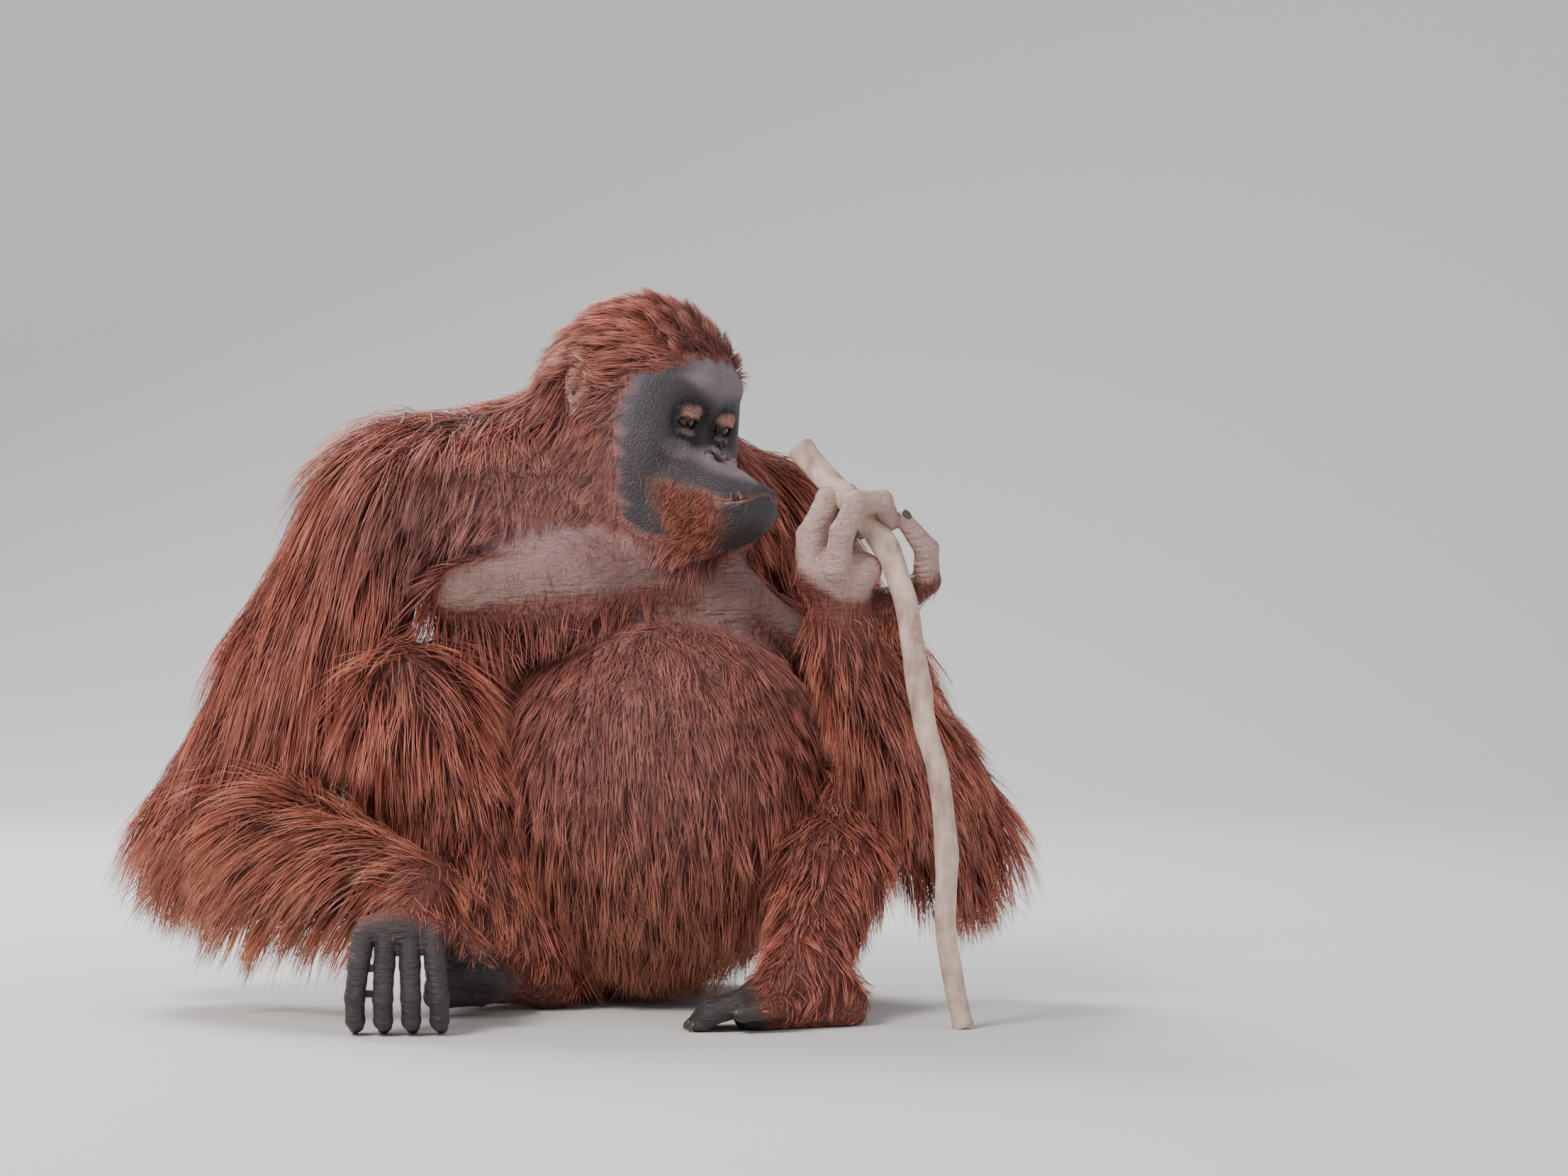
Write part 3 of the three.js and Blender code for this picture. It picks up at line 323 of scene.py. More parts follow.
def leg(hip, knee, ankle):
    return [cone(hip, 86, mix(hip, knee, 0.55), 70, 30), cone(mix(hip, knee, 0.5), 72, knee, 50, 30),
            cone(knee, 48, mix(knee, ankle, 0.4), 45, 20), cone(mix(knee, ankle, 0.4), 45, ankle, 29, 20)]


arm_right = arm(J["shoulder_right"], J["elbow_right"], J["wrist_right"])
arm_left = arm(J["shoulder_left"], J["elbow_left"], J["wrist_left"])
trunk = [
    egg(in_body(-8, 0, 100), [115, 150, 116], UPRIGHT, 40),
    egg(in_body(0, 0, 250), [108, 142, 160], UPRIGHT, 40),
    egg(in_body(128, 12, 200), [145, 152, 160], UPRIGHT, 50),
    egg(in_body(45, 0, 412), [112, 150, 118], UPRIGHT, 14),
    egg(in_body(8, 0, 425), [96, 152, 112], UPRIGHT, 40),
    cone(in_body(30, 5, 470), 84, in_head(-10, 0, -40), 70, 50),
    cone(in_body(30, -10, 492), 62, mix(in_body(20, -90, 500), J["shoulder_right"], 0.6), 54, 45),
    cone(in_body(30, 20, 485), 62, mix(in_body(20, 90, 470), J["shoulder_left"], 0.6), 52, 45),
    cone(in_body(100, -25, 432), 56, mix(in_body(80, -110, 440), J["shoulder_right"], 0.3), 46, 40),
    cone(in_body(120, 30, 440), 52, in_head(70, 0, -110), 48, 45),
]
breasts = chain([in_body(130, 12, 394), in_body(138, -80, 386), in_body(112, -172, 371)], [42, 43, 33], 16)
breasts += chain([in_body(130, -12, 388), in_body(142, 70, 364), in_body(118, 146, 330)], [40, 36, 26], 16)
print("flesh:", len(trunk) + len(breasts), "forms in the trunk")

# %% Skull, muzzle and sockets
MUZZLE_SLOPE = math.radians(18)
MUZZLE_AXES = [head_way(math.cos(MUZZLE_SLOPE), 0, -math.sin(MUZZLE_SLOPE)), head_way(0, 1, 0),
               head_way(math.sin(MUZZLE_SLOPE), 0, math.cos(MUZZLE_SLOPE))]
SKULL_FORMS = [
    ((0, 0, 4), (80, 71, 72), SKULL, 25),
    ((-18, 0, -14), (70, 74, 62), SKULL, 25),
    ((42, 0, 2), (42, 62, 44), SKULL, 22),
    ((38, 42, -42), (41, 36, 52), SKULL, 20),
    ((38, -42, -42), (41, 36, 52), SKULL, 20),
    ((38, 46, -86), (44, 34, 48), SKULL, 26),
    ((38, -46, -86), (44, 34, 48), SKULL, 26),
    ((64, 0, -64), (35, 37, 34), SKULL, 12),
    ((121, 0, -79), (50, 40, 23), MUZZLE_AXES, 14),
    ((100, 0, -93), (64, 47, 41), SKULL, 18),
    ((144, 0, -84), (27, 34, 22), SKULL, 14),
    ((70, 20, 15), (15, 23, 9), SKULL, 14),
    ((70, -20, 15), (15, 23, 9), SKULL, 14),
    ((94, 0, -50), (11, 17, 9), SKULL, 9),
]
skull = [egg(in_head(*place), radii, axes, k) for place, radii, axes, k in SKULL_FORMS]
sockets = [egg(in_head(93, side * 27, -21), [20, 22, 16], SKULL, 8, cut=True) for side in (-1, 1)]
EYE_RADIUS = 12
RAY_LENGTH, RAY_STEP = 150, 0.4


def on_skull(start, through):
    """Where a ray between two points in the head's frame leaves the skull, and the ray's direction."""
    a = in_head(*start)
    way = unit(in_head(*through) - a)
    steps = np.arange(0, RAY_LENGTH, RAY_STEP) * MM
    d = exact(skull + sockets, a + steps[:, None] * way)
    first = int(np.flatnonzero(d > 0)[0])
    share = d[first - 1] / (d[first - 1] - d[first])
    return a + way * (steps[first - 1] + share * RAY_STEP * MM), way


def eye_frame(side):
    """Gives a function for points of one eye: forward, outward and up from its middle, in millimetres."""
    f0, l0, u0 = EYE_PLACE["left" if side > 0 else "right"]

    def at(f, l, u):
        return in_head(f0 + f, l0 + side * l, u0 + u)
    return at


# %% Lids
LID_BALL, OPEN_MIDDLE, OPEN_HALF, OPEN_WIDE = 16.2, -2.6, 4.6, 12.4


def lid_edge(at, up):
    """The rim of the almond opening, on the lid's ball."""
    points = []
    for l in np.linspace(-OPEN_WIDE, OPEN_WIDE, 9):
        u = OPEN_MIDDLE + up * (OPEN_HALF * math.sqrt(max(1 - (l / OPEN_WIDE) ** 2, 0)) + 0.9)
        points.append(at(math.sqrt(LID_BALL ** 2 - l * l - u * u) - 0.3, l, u))
    return points


face, openings = [], []
for side in (-1, 1):
    at = eye_frame(side)
    face.append(egg(at(0, 0, 0), [LID_BALL] * 3, SKULL, 5))
    face += chain(lid_edge(at, 1), [0.9, 1.2, 1.5, 1.6, 1.6, 1.6, 1.5, 1.2, 0.9], 1.0)
    face += chain(lid_edge(at, -1), [0.8, 1.1, 1.3, 1.4, 1.4, 1.4, 1.3, 1.1, 0.8], 1.0)
    face += chain([at(8, -12, 9.5), at(12, -4, 13.5), at(12, 6, 13), at(7, 14, 8)], [1.4, 2.2, 2.2, 1.4], 4)
    face += chain([at(10, -11, -11.5), at(13, -2, -15), at(9, 10, -13.5)], [1.4, 2.2, 1.6], 4)
    face += chain([at(10, -13, -18), at(12, -3, -22), at(7, 11, -20)], [1.0, 1.8, 1.2], 5)
    slit = [12, OPEN_WIDE + 1.6, OPEN_HALF + 0.2]
    openings.append(egg(at(13, 0, OPEN_MIDDLE), slit, SKULL, 0.8, cut=True))

# %% Mouth, laid on the muzzle by rays from its middle
MOUTH_TURN = [-54, -46, -36, -26, -13, 0, 13, 26, 36, 46, 54]
MOUTH_RISE = [-81, -83, -82, -78, -71, -68, -71, -78, -82, -83, -81]
mouth = []
for degrees, height in zip(MOUTH_TURN, MOUTH_RISE):
    c, s = math.cos(math.radians(degrees)), math.sin(math.radians(degrees))
    mouth.append(on_skull((104, 0, height), (104 + 40 * c, 40 * s, height)))
fullness = np.array([0.35, 0.6, 0.8, 0.92, 1, 1, 1, 0.92, 0.8, 0.6, 0.35])
HEAD_UP = head_way(0, 0, 1)


def beside_mouth(out, up):
    return [p + (way * out + HEAD_UP * up) * MM for p, way in mouth]


face += chain(beside_mouth(-3.4, 4.0), fullness * 5.0, 5)
face += chain(beside_mouth(-2.6, -4.8), fullness * 5.8, 5)
line_of_mouth = chain(beside_mouth(2.6, -0.2), fullness * 1.2 + 0.2, 1.8, cut=True)
line_of_mouth += chain(beside_mouth(-1.2, -0.2), fullness * 0.8 + 0.2, 1.4, cut=True)

# %% Nose
nose = []
WING = [(-6, 3, 5), (-1, 7.5, 3), (2, 8.5, -3), (3, 4, -7)]
for side in (-1, 1):
    hole, _ = on_skull((60, side * 4, -53), (110, side * 8.5, -46))
    fore, out = head_way(1, 0, 0), head_way(0, side, 0)
    wing = [hole + (fore * f + out * o + HEAD_UP * u) * MM for f, o, u in WING]
    face += chain(wing, [2.0, 3.2, 3.4, 2.4], 4)
    nose.append(cone(in_head(97, side * 6, -52), 3.6, in_head(122, side * 11, -37), 7.0, 1.5, cut=True))
bridge = [on_skull((60, 0, -50), (100, 0, -38))[0], on_skull((60, 0, -56), (110, 0, -52))[0]]
face += chain(bridge, [2.2, 3.2], 5)
print("mouth and nose:", len(mouth), "points on the muzzle,", len(nose), "nostrils")


# %% Ears
def ear(side):
    """The rolled rim, the inner ridge and the lobe, round the hollow of the cup."""
    out, up = head_way(-0.25, side, 0), head_way(-0.18, 0, 1)
    fore = unit(np.cross(up, out)) * -side
    middle = in_head(-8, side * 86, -18)

    def at(f, u, o):
        return middle + (f * fore + u * up + o * out) * MM

    rim = [at(9, 3, 0), at(12, 13, 2), at(6, 21, 4), at(-4, 22, 5), at(-12, 15, 5), at(-14, 3, 4),
           at(-11, -9, 2), at(-4, -18, 0), at(3, -20, -2), at(7, -13, -3)]
    rim = chain(rim, [2.4, 2.8, 3, 3, 3, 3, 2.9, 3.6, 3.8, 2.8], 2.5)
    body = egg(at(-1, 1, -2), [13.5, 21, 6], [fore, up, out], 3)
    cup = egg(at(-2, 1, 5), [9.5, 14.5, 10], [fore, up, out], 2, cut=True)
    ridge = chain([at(-1, 12, 1), at(-7, 6, 2), at(-7, -6, 1), at(0, -11, 0)], [2.2, 2.5, 2.4, 2], 2.5)
    hole = cone(at(3, -2, 1), 3.2, at(4, -2, -8), 2.4, 2, cut=True)
    base = cone(at(3, -2, -5), 9, at(5, -3, -16), 12, 8)
    return [body, base] + rim + [cup] + ridge + [hole]


ears = ear(-1) + ear(1)
print("head:", len(skull) + len(face) + len(ears), "forms")

# %% [markdown]
# ## Hands and feet
#
# An orangutan's hand is a hook: a long narrow palm, four long fingers and a short thumb. The fingers of
# the right hand hang to the ground, those of the left close round the branch. Each finger is a chain of
# round cones with a swelling at every knuckle.


# %% Chains of cones for fingers and toes
def shifted(points):
    return [pose(*p) for p in points]


def digit(points, radii, k=1.8):
    """Cones through the knuckles; each knuckle is a little fatter than the bone between."""
    path = shifted(points)
    radii = [r * 0.91 for r in radii]
    forms = []
    for a, b, ra, rb in zip(path, path[1:], radii, radii[1:]):
        waist = (ra + rb) / 2 * 0.93
        forms += [cone(a, ra, mix(a, b, 0.5), waist, k), cone(mix(a, b, 0.5), waist, b, rb, k)]
    return forms


def to_pose(p):
    return p / MM - shift


# %% Hands
wr = to_pose(J["wrist_right"])
wl = to_pose(J["wrist_left"])
palm_right = chain(shifted([wr + [-4, 6, 2], wr + [-8, -20, -8], wr + [-20, -52, -28]]), [25, 25, 20], 14)
palm_right += [cone(pose(*(wr + [-46, -54, -32])), 13, pose(*(wr + [10, -54, -32])), 13, 16)]
fingers_right = []
for i, x in enumerate((-30, -10, 10, 30)):
    base = wr + [-22 + x, -60, -36]
    down = (0, 3, 3, 0)[i]
    spread = x * 0.22
    points = [base, base + [spread * 0.5, -12, 62 - base[2]], base + [spread, -16 - down, 34 - base[2]],
              base + [spread, -9 - down, 14 - base[2]], base + [spread, 6, 8 - base[2]]]
    fingers_right.append((points, [11.5, 10.5, 10, 9.4, 7.6]))
fingers_right.append(([wr + [12, -4, -10], wr + [30, -22, -34], wr + [48, -30, -54]], [13, 9.5, 6.6]))
palm_left = chain(shifted([wl + [6, 12, -10], wl + [6, -4, 20], wl + [0, -16, 58]]), [25, 27, 22], 14)
palm_left += [cone(pose(*(wl + [-24, -14, 56])), 15, pose(*(wl + [24, -24, 62])), 15, 16)]
fingers_left = [
    ([[258, -254, 404], [263, -264, 436], [277, -262, 462], [298, -252, 463], [306, -234, 446],
      [292, -216, 434]], [14, 12.6, 12, 11.2, 9.6, 7.6]),
    ([[236, -232, 404], [239, -228, 438], [251, -216, 464], [268, -202, 468], [284, -200, 452]],
     [14, 13, 12.4, 11.2, 8]),
    ([[232, -216, 400], [234, -206, 432], [246, -194, 454], [264, -186, 452], [278, -190, 436]],
     [13, 12.4, 11.4, 10.2, 7.8]),
    ([[236, -204, 394], [240, -192, 418], [252, -182, 434], [268, -180, 428], [278, -188, 414]],
     [12, 10.4, 9.8, 9.2, 7.2]),
    ([[272, -204, 366], [312, -210, 372], [338, -218, 392], [338, -228, 420], [318, -238, 446]],
     [21, 17, 14, 12, 8.6]),
]


# %% Feet
def foot(ankle, heel, ball, toes):
    forms = [cone(ankle, 29, heel, 26, 18), cone(ankle, 28, ball, 21, 18), cone(heel, 24, ball, 21, 18)]
    return forms + [f for points, radii in toes for f in digit(points, radii)]


ar, al = to_pose(J["ankle_right"]), to_pose(J["ankle_left"])
heel_right, ball_right = ar + [22, 16, -32], ar + [-62, -42, -28]
heel_left, ball_left = al + [30, 12, -24], al + [-36, -26, -24]
toes_right = []
for x, y, z, r in ((0, 2, 30, 13), (6, -6, 10, 14), (0, 0, -10, 13), (-8, 8, -22, 11)):
    b = ball_right
    toe = [b + [6, 6, z * 0.5], b + [-14 + x * 0.4, -10 + y, z * 0.7], b + [x + 4, -30 + y, z * 0.62],
           b + [32 + x, -26 + y, z * 0.45 - 4], b + [44 + x, -10 + y, z * 0.4 - 6]]
    toes_right.append((toe, [r + 3, r + 1, r, r - 1, r - 3.4]))
toes_left = []
for x, y, r in ((0, -22, 11.5), (-3, -6, 12), (-2, 10, 11), (4, 24, 10)):
    b = ball_left
    toe = [b + [8, y * 0.6, 2], b + [-18 + x, y - 4, 5], b + [-42 + x, y - 6, -2],
           b + [-54 + x, y - 4, -14]]
    toes_left.append((toe, [r + 3, r + 0.5, r, r - 3]))
big_toe = [ball_left + [20, -18, 4], ball_left + [8, -36, 4], ball_left + [-16, -44, -2]]
toes_left.append((big_toe, [14, 11, 8]))
print("fingers:", len(fingers_right) + len(fingers_left), "toes:", len(toes_right) + len(toes_left))

# %% [markdown]
# ## Sampling the field and meshing it
#
# The field is sampled on a grid of a few millimetres, and a surface net is laid on it: one vertex in
# each cell that the surface crosses, and a quad round each grid edge that it cuts. Then the head,
# hands and feet are divided finer and drawn onto the exact field, so that lids and lips come out crisp.

# %% Grid
STEP = 7.2 * MM
grid_low = np.array(cad_box[0], float) - 0.02
grid_high = np.array(cad_box[1], float) + 0.02
grid_count = np.ceil((grid_high - grid_low) / STEP).astype(int) + 1
axes_of_grid = [grid_low[i] + STEP * np.arange(grid_count[i]) for i in range(3)]


def group_field(forms):
    """The field of a list of forms at every grid point."""
    field = np.full(tuple(grid_count), BAND)
    for form in forms:
        lo, hi = reach_of(form, CUT_NEAR if form["cut"] else BAND)
        i0 = np.clip(np.floor((lo - grid_low) / STEP).astype(int), 0, grid_count - 1)
        i1 = np.clip(np.ceil((hi - grid_low) / STEP).astype(int) + 1, 1, grid_count)
        if np.any(i1 <= i0):
            continue
        sub = field[i0[0]:i1[0], i0[1]:i1[1], i0[2]:i1[2]]
        ticks = [axes_of_grid[a][i0[a]:i1[a]] for a in range(3)]
        d = distance(form, np.stack(np.meshgrid(*ticks, indexing="ij"), axis=-1))
        sub[...] = -smooth_min(-sub, d, form["k"]) if form["cut"] else smooth_min(sub, d, form["k"])
    return field


# %% Body and limbs, and how they touch
hand_right = palm_right + [f for points, radii in fingers_right for f in digit(points, radii)]
hand_left = palm_left + [f for points, radii in fingers_left for f in digit(points, radii)]
leg_right = leg(J["hip_right"], J["knee_right"], J["ankle_right"])
leg_left = leg(J["hip_left"], J["knee_left"], J["ankle_left"])
foot_right = foot(J["ankle_right"], pose(*heel_right), pose(*ball_right), toes_right)
foot_left = foot(J["ankle_left"], pose(*heel_left), pose(*ball_left), toes_left)
body = trunk + breasts + skull + sockets + arm_right[:1] + arm_left[:1]
body += face + openings + line_of_mouth + nose + ears
GROUPS = [body, arm_right + hand_right, arm_left + hand_left, leg_right + foot_right, leg_left + foot_left]
CONTACT = 7 * MM
FLOOR_GAP = 0.4 * MM
field = None
for forms in GROUPS:
    part = group_field(forms)
    field = part if field is None else smooth_min(field, part, CONTACT)
field = np.maximum(field, FLOOR_GAP - axes_of_grid[2][None, None, :])
print("grid", grid_count.tolist(), "at", round(STEP / MM, 1), "mm")


# %% Surface net
def surface_net(field):
    inside = field < 0
    n = np.array(field.shape)
    offsets = [(c & 1, (c >> 1) & 1, (c >> 2) & 1) for c in range(8)]
    total = np.zeros(tuple(n - 1), np.int8)
    for x, y, z in offsets:
        total += inside[x:n[0] - 1 + x, y:n[1] - 1 + y, z:n[2] - 1 + z]
    cells = np.argwhere((total > 0) & (total < 8))
    value = np.stack([field[tuple((cells + o).T)] for o in offsets], axis=1)
    points = np.zeros((len(cells), 3))
    crossed = np.zeros(len(cells))
    for a in range(8):
        for bit in (1, 2, 4):
            if a & bit:
                continue
            va, vb = value[:, a], value[:, a | bit]
            hit = (va < 0) != (vb < 0)
            t = np.where(hit, va / np.where(va == vb, 1, va - vb), 0)
            at = np.array(offsets[a]) + t[:, None] * (np.array(offsets[a | bit]) - np.array(offsets[a]))
            points += at * hit[:, None]
            crossed += hit
    points = (cells + points / crossed[:, None]) * STEP + grid_low
    number = np.full(tuple(n - 1), -1, np.int32)
    number[tuple(cells.T)] = np.arange(len(cells))
    quads = []
    for axis in range(3):
        u, v = [(1, 2), (2, 0), (0, 1)][axis]
        here = [slice(1, n[i] - 1) for i in range(3)]
        there = list(here)
        there[axis] = slice(2, n[axis])
        first, second = inside[tuple(here)], inside[tuple(there)]
        hit = np.argwhere(first != second) + 1
        outward = first[tuple((hit - 1).T)]
        du, dv = np.eye(3, dtype=int)[u], np.eye(3, dtype=int)[v]
        ring = [hit - du - dv, hit - dv, hit, hit - du]
        q = np.stack([number[tuple(r.T)] for r in ring], axis=1)
        q[~outward] = q[~outward][:, ::-1]
        quads.append(q)
    return points, np.concatenate(quads)


points, quads = surface_net(field)
print("skin net:", len(points), "points,", len(quads), "quads")


def sample(at):
    """The distance to the skin at points, between the grid's values."""
    g = np.clip((at - grid_low) / STEP, 0, grid_count - 1.001)
    i = np.minimum(g.astype(int), grid_count - 2)
    t = g - i
    total = np.zeros(len(at))
    for c in range(8):
        o = np.array([c & 1, (c >> 1) & 1, (c >> 2) & 1])
        w = np.prod(np.where(o, t, 1 - t), axis=1)
        total += w * field[tuple((i + o).T)]
    return total


def slope(at, e=3 * MM):
    g = np.stack([sample(at + e * a) - sample(at - e * a) for a in np.eye(3)], axis=1)
    return g / np.maximum(np.linalg.norm(g, axis=1, keepdims=True), 1e-9)


# %% Points drawn onto the exact surface
def whole_body(p):
    """The exact field of all the forms together."""
    d = None
    for forms in GROUPS:
        part = exact(forms, p)
        d = part if d is None else smooth_min(d, part, CONTACT)
    return np.maximum(d, FLOOR_GAP - p[:, 2])


def pull(p, rounds=3):
    """Moves points onto the exact surface, by steps down its slope."""
    e = 0.35 * MM
    for _ in range(rounds):
        d = whole_body(p)
        g = np.stack([whole_body(p + e * a) - whole_body(p - e * a) for a in np.eye(3)], axis=1) / (2 * e)
        size = np.maximum((g * g).sum(axis=1), 0.25)
        step = np.clip(d / size, -2.5 * MM, 2.5 * MM)
        p = p - g * step[:, None]
    return p


# %% Skin mesh, finer where it matters
skin_mesh = bpy.data.meshes.new("skin")
skin_mesh.from_pydata(points.tolist(), [], quads.tolist())
skin_mesh.validate()
skin = add_object("skin", skin_mesh)


def points_of(mesh):
    co = np.zeros(len(mesh.vertices) * 3)
    mesh.vertices.foreach_get("co", co)
    return co.reshape(-1, 3)


def set_points(mesh, p):
    mesh.vertices.foreach_set("co", p.ravel())
    mesh.update()


def head_coordinates(p):
    """Points in the head's own frame: forward, left and up, in millimetres."""
    return (p / MM - shift - HEAD_MIDDLE) @ HEAD_AXES


# %% Regions where the skin is finer
def near_face(p, forward, margin=0):
    q = head_coordinates(p)
    return (q[:, 0] > forward) & (np.abs(q[:, 1]) < 70 + margin) & (q[:, 2] > -135) & (q[:, 2] < 60)


def near_digits(p):
    close = np.zeros(len(p), bool)
    for centre, radius in ((wr + [-16, -60, -60], 95), (wl + [30, -16, 60], 90), (ar + [-40, -20, -30], 95),
                           (al + [-50, -30, -30], 95)):
        close |= np.linalg.norm(p - pose(*centre), axis=1) < radius * MM
    return close


def near_ears(p):
    return np.min([np.linalg.norm(p - in_head(-8, s * 83, -18), axis=1) for s in (-1, 1)], axis=0) < 32 * MM


def to_rod(p, a, b):
    """The distance from points to the straight line between two places."""
    t = np.clip((p - a) @ (b - a) / ((b - a) @ (b - a)), 0, 1)
    return np.linalg.norm(p - a - t[:, None] * (b - a), axis=1)


def to_path(p, path):
    return np.min([to_rod(p, a, b) for a, b in zip(path, path[1:])], axis=0)


def fine_features(p, radius_eye, radius_mouth):
    close = to_path(p, [place for place, way in mouth]) < radius_mouth * MM
    for side in (-1, 1):
        close |= np.linalg.norm(p - eye_frame(side)(8, 0, -3), axis=1) < radius_eye * MM
        close |= np.linalg.norm(p - in_head(108, side * 8, -47), axis=1) < radius_mouth * 1.4 * MM
    return close


def near_fingers(p):
    close = np.zeros(len(p), bool)
    for finger, radii in fingers_right + fingers_left:
        close |= to_path(p, shifted(finger)) < 15 * MM
    return close


# %% Dividing, smoothing and drawing on
def refine(chosen):
    """Divides the edges between chosen points of the skin."""
    bm = bmesh.new()
    bm.from_mesh(skin_mesh)
    bm.verts.ensure_lookup_table()
    edges = [e for e in bm.edges if chosen[e.verts[0].index] and chosen[e.verts[1].index]]
    bmesh.ops.subdivide_edges(bm, edges=edges, cuts=1, use_grid_fill=True)
    bm.to_mesh(skin_mesh)
    bm.free()


def smooth(rounds, amount):
    """Evens the net a little, before it is drawn onto the exact field again."""
    p = points_of(skin_mesh)
    edges = np.zeros(len(skin_mesh.edges) * 2, np.int64)
    skin_mesh.edges.foreach_get("vertices", edges)
    a, b = edges.reshape(-1, 2).T
    degree = np.bincount(np.concatenate([a, b]), minlength=len(p)).astype(float)
    for _ in range(rounds):
        total = np.stack([np.bincount(np.concatenate([a, b]), np.concatenate([p[b, i], p[a, i]]), len(p))
                          for i in range(3)], axis=1)
        p = p + amount * (total / degree[:, None] - p)
    set_points(skin_mesh, p)


smooth(2, 0.5)
set_points(skin_mesh, pull(points_of(skin_mesh), 2))
p = points_of(skin_mesh)
refine(near_face(p, 30) | near_digits(p) | near_ears(p))
p = points_of(skin_mesh)
refine(near_ears(p) | fine_features(p, 30, 20) | near_fingers(p))
p = points_of(skin_mesh)
refine(fine_features(p, 20, 9))
smooth(1, 0.35)
p = points_of(skin_mesh)
moving = near_face(p, 20, 12) | near_digits(p) | near_ears(p)
p[moving] = pull(p[moving], 3)
set_points(skin_mesh, p)
print("skin refined:", len(skin_mesh.vertices), "points,", len(skin_mesh.polygons), "faces")

# %% [markdown]
# ## Skin colours
#
# Skin and hair take their colours from the same regions of the body. The skin is nearly black on the
# face, brownish pink at the ears, lips and upper lids, mauve on the chest, dark grey on the feet and the
# right hand, and pale on the left hand. Painted shade darkens the hollows round the eyes, the ear holes,
# the nostrils and the line of the mouth, and deepens the darker skin inside the left fist; under a thick
# coat the skin is painted the dark maroon of the shade deep in the coat. The colour is stored as one
# colour per vertex, and noise breaks it up.


# %% Distances to the bones
BONES = {}
for bone, upper, lower, flesh in (("upper_arm", "shoulder", "elbow", 50), ("forearm", "elbow", "wrist", 38),
                                  ("thigh", "hip", "knee", 66), ("shin", "knee", "ankle", 38)):
    for side in ("right", "left"):
        BONES[bone + "_" + side] = (J[upper + "_" + side], J[lower + "_" + side], flesh)
BONES.update({
    "hand_right": (J["wrist_right"], pose(*(wr + [-22, -72, -90])), 30),
    "hand_left": (J["wrist_left"], pose(*(wl + [18, -30, 90])), 32),
    "foot_right": (pose(*(ar + [10, 6, -25])), pose(*(ball_right + [0, -20, 0])), 30),
    "foot_left": (pose(*(al + [10, 6, -20])), pose(*(ball_left + [-30, -6, 0])), 28),
    "rump": (in_body(-8, 0, 90), in_body(0, 0, 250), 112),
    "chest": (in_body(10, 0, 330), in_body(20, 0, 470), 112),
    "belly": (in_body(120, 12, 150), in_body(110, 12, 260), 140),
    "neck": (in_body(30, 5, 500), in_head(-5, 0, -50), 70),
    "head": (in_head(0, 0, -10), in_head(70, 0, -70), 66),
})
BONE_NAMES = list(BONES)


def bone_distances(p):
    """How far each point lies outside the flesh of each bone, in millimetres."""
    return np.stack([to_rod(p, a, b) / MM - r for a, b, r in BONES.values()], axis=1)


def bone_weights(p, soft):
    """How much each point belongs to each bone; the weights of a point add up to 1."""
    away = bone_distances(p)
    w = np.exp(-(away - away.min(axis=1, keepdims=True)) / soft)
    return w / w.sum(axis=1, keepdims=True)


def part_of(p, names, soft=14):
    """How much each point belongs to the named bones, from 0 to 1, with soft borders."""
    w = bone_weights(p, soft)
    return sum(w[:, BONE_NAMES.index(n)] for n in names)


# %% Ramps, spots and blends


def ramp(x, a, b):
    t = np.clip((x - a) / (b - a), 0, 1)
    return t * t * (3 - 2 * t)


def spot(q, centre, radii):
    """1 at a centre in the head's frame, falling to 0 at the edge of an ellipsoid round it."""
    return 1 - ramp(np.linalg.norm((q - np.array(centre)) / np.array(radii), axis=1), 0.45, 1.0)


def blend(base, colour, amount):
    return base + (np.array(colour) - base) * amount[:, None]


# %% Colours and regions of the skin
# socket is painted shade, nearly black: the hollows round the eyes, the ear holes, the nostrils and the
# mouth's line
SKIN = {"limb": (0.20, 0.115, 0.095), "hand": (0.045, 0.034, 0.036), "fist": (0.46, 0.30, 0.265),
        "chest": (0.40, 0.235, 0.245), "neck": (0.34, 0.17, 0.16), "belly": (0.26, 0.14, 0.125),
        "face": (0.052, 0.041, 0.047), "brow": (0.22, 0.165, 0.185), "lid": (0.40, 0.185, 0.14),
        "lip": (0.42, 0.19, 0.15), "jaw": (0.17, 0.07, 0.04), "ear": (0.34, 0.165, 0.12),
        "socket": (0.010, 0.007, 0.008), "pink": (0.44, 0.16, 0.15), "scalp": (0.20, 0.10, 0.085)}


def face_mask(q):
    """The bare dark face, in the head's frame: 1 inside, 0 in the hair."""
    ragged = 3 * np.sin(q[:, 2] * 0.31) + 2.5 * np.sin(q[:, 2] * 0.83 + q[:, 1] * 0.2)
    slant = 0.34 * np.maximum(-q[:, 2] - 30, 0) + 0.5 * np.maximum(q[:, 2] - 2, 0)
    inside = ramp(q[:, 0] + 0.15 * (40 - np.abs(q[:, 1])) - slant + ragged, 20, 46)
    top = 40 + 2.5 * np.sin(q[:, 1] * 0.35) - 0.006 * q[:, 1] ** 2 * ramp(np.abs(q[:, 1]), 10, 50)
    return inside * (1 - ramp(q[:, 2] - top, -9, 8)) * (1 - ramp(-q[:, 2], 122, 140))


def jaw_side(q):
    """The short orange hair on the sides of the jaw, behind and below the mouth's corner."""
    edge = q[:, 0] + 0.5 * (q[:, 2] + 100)
    patch = ramp(edge, 82, 108) * (1 - ramp(q[:, 0], 136, 168)) * ramp(np.abs(q[:, 1]), 6, 30)
    return patch * ramp(-q[:, 2], 68, 88)


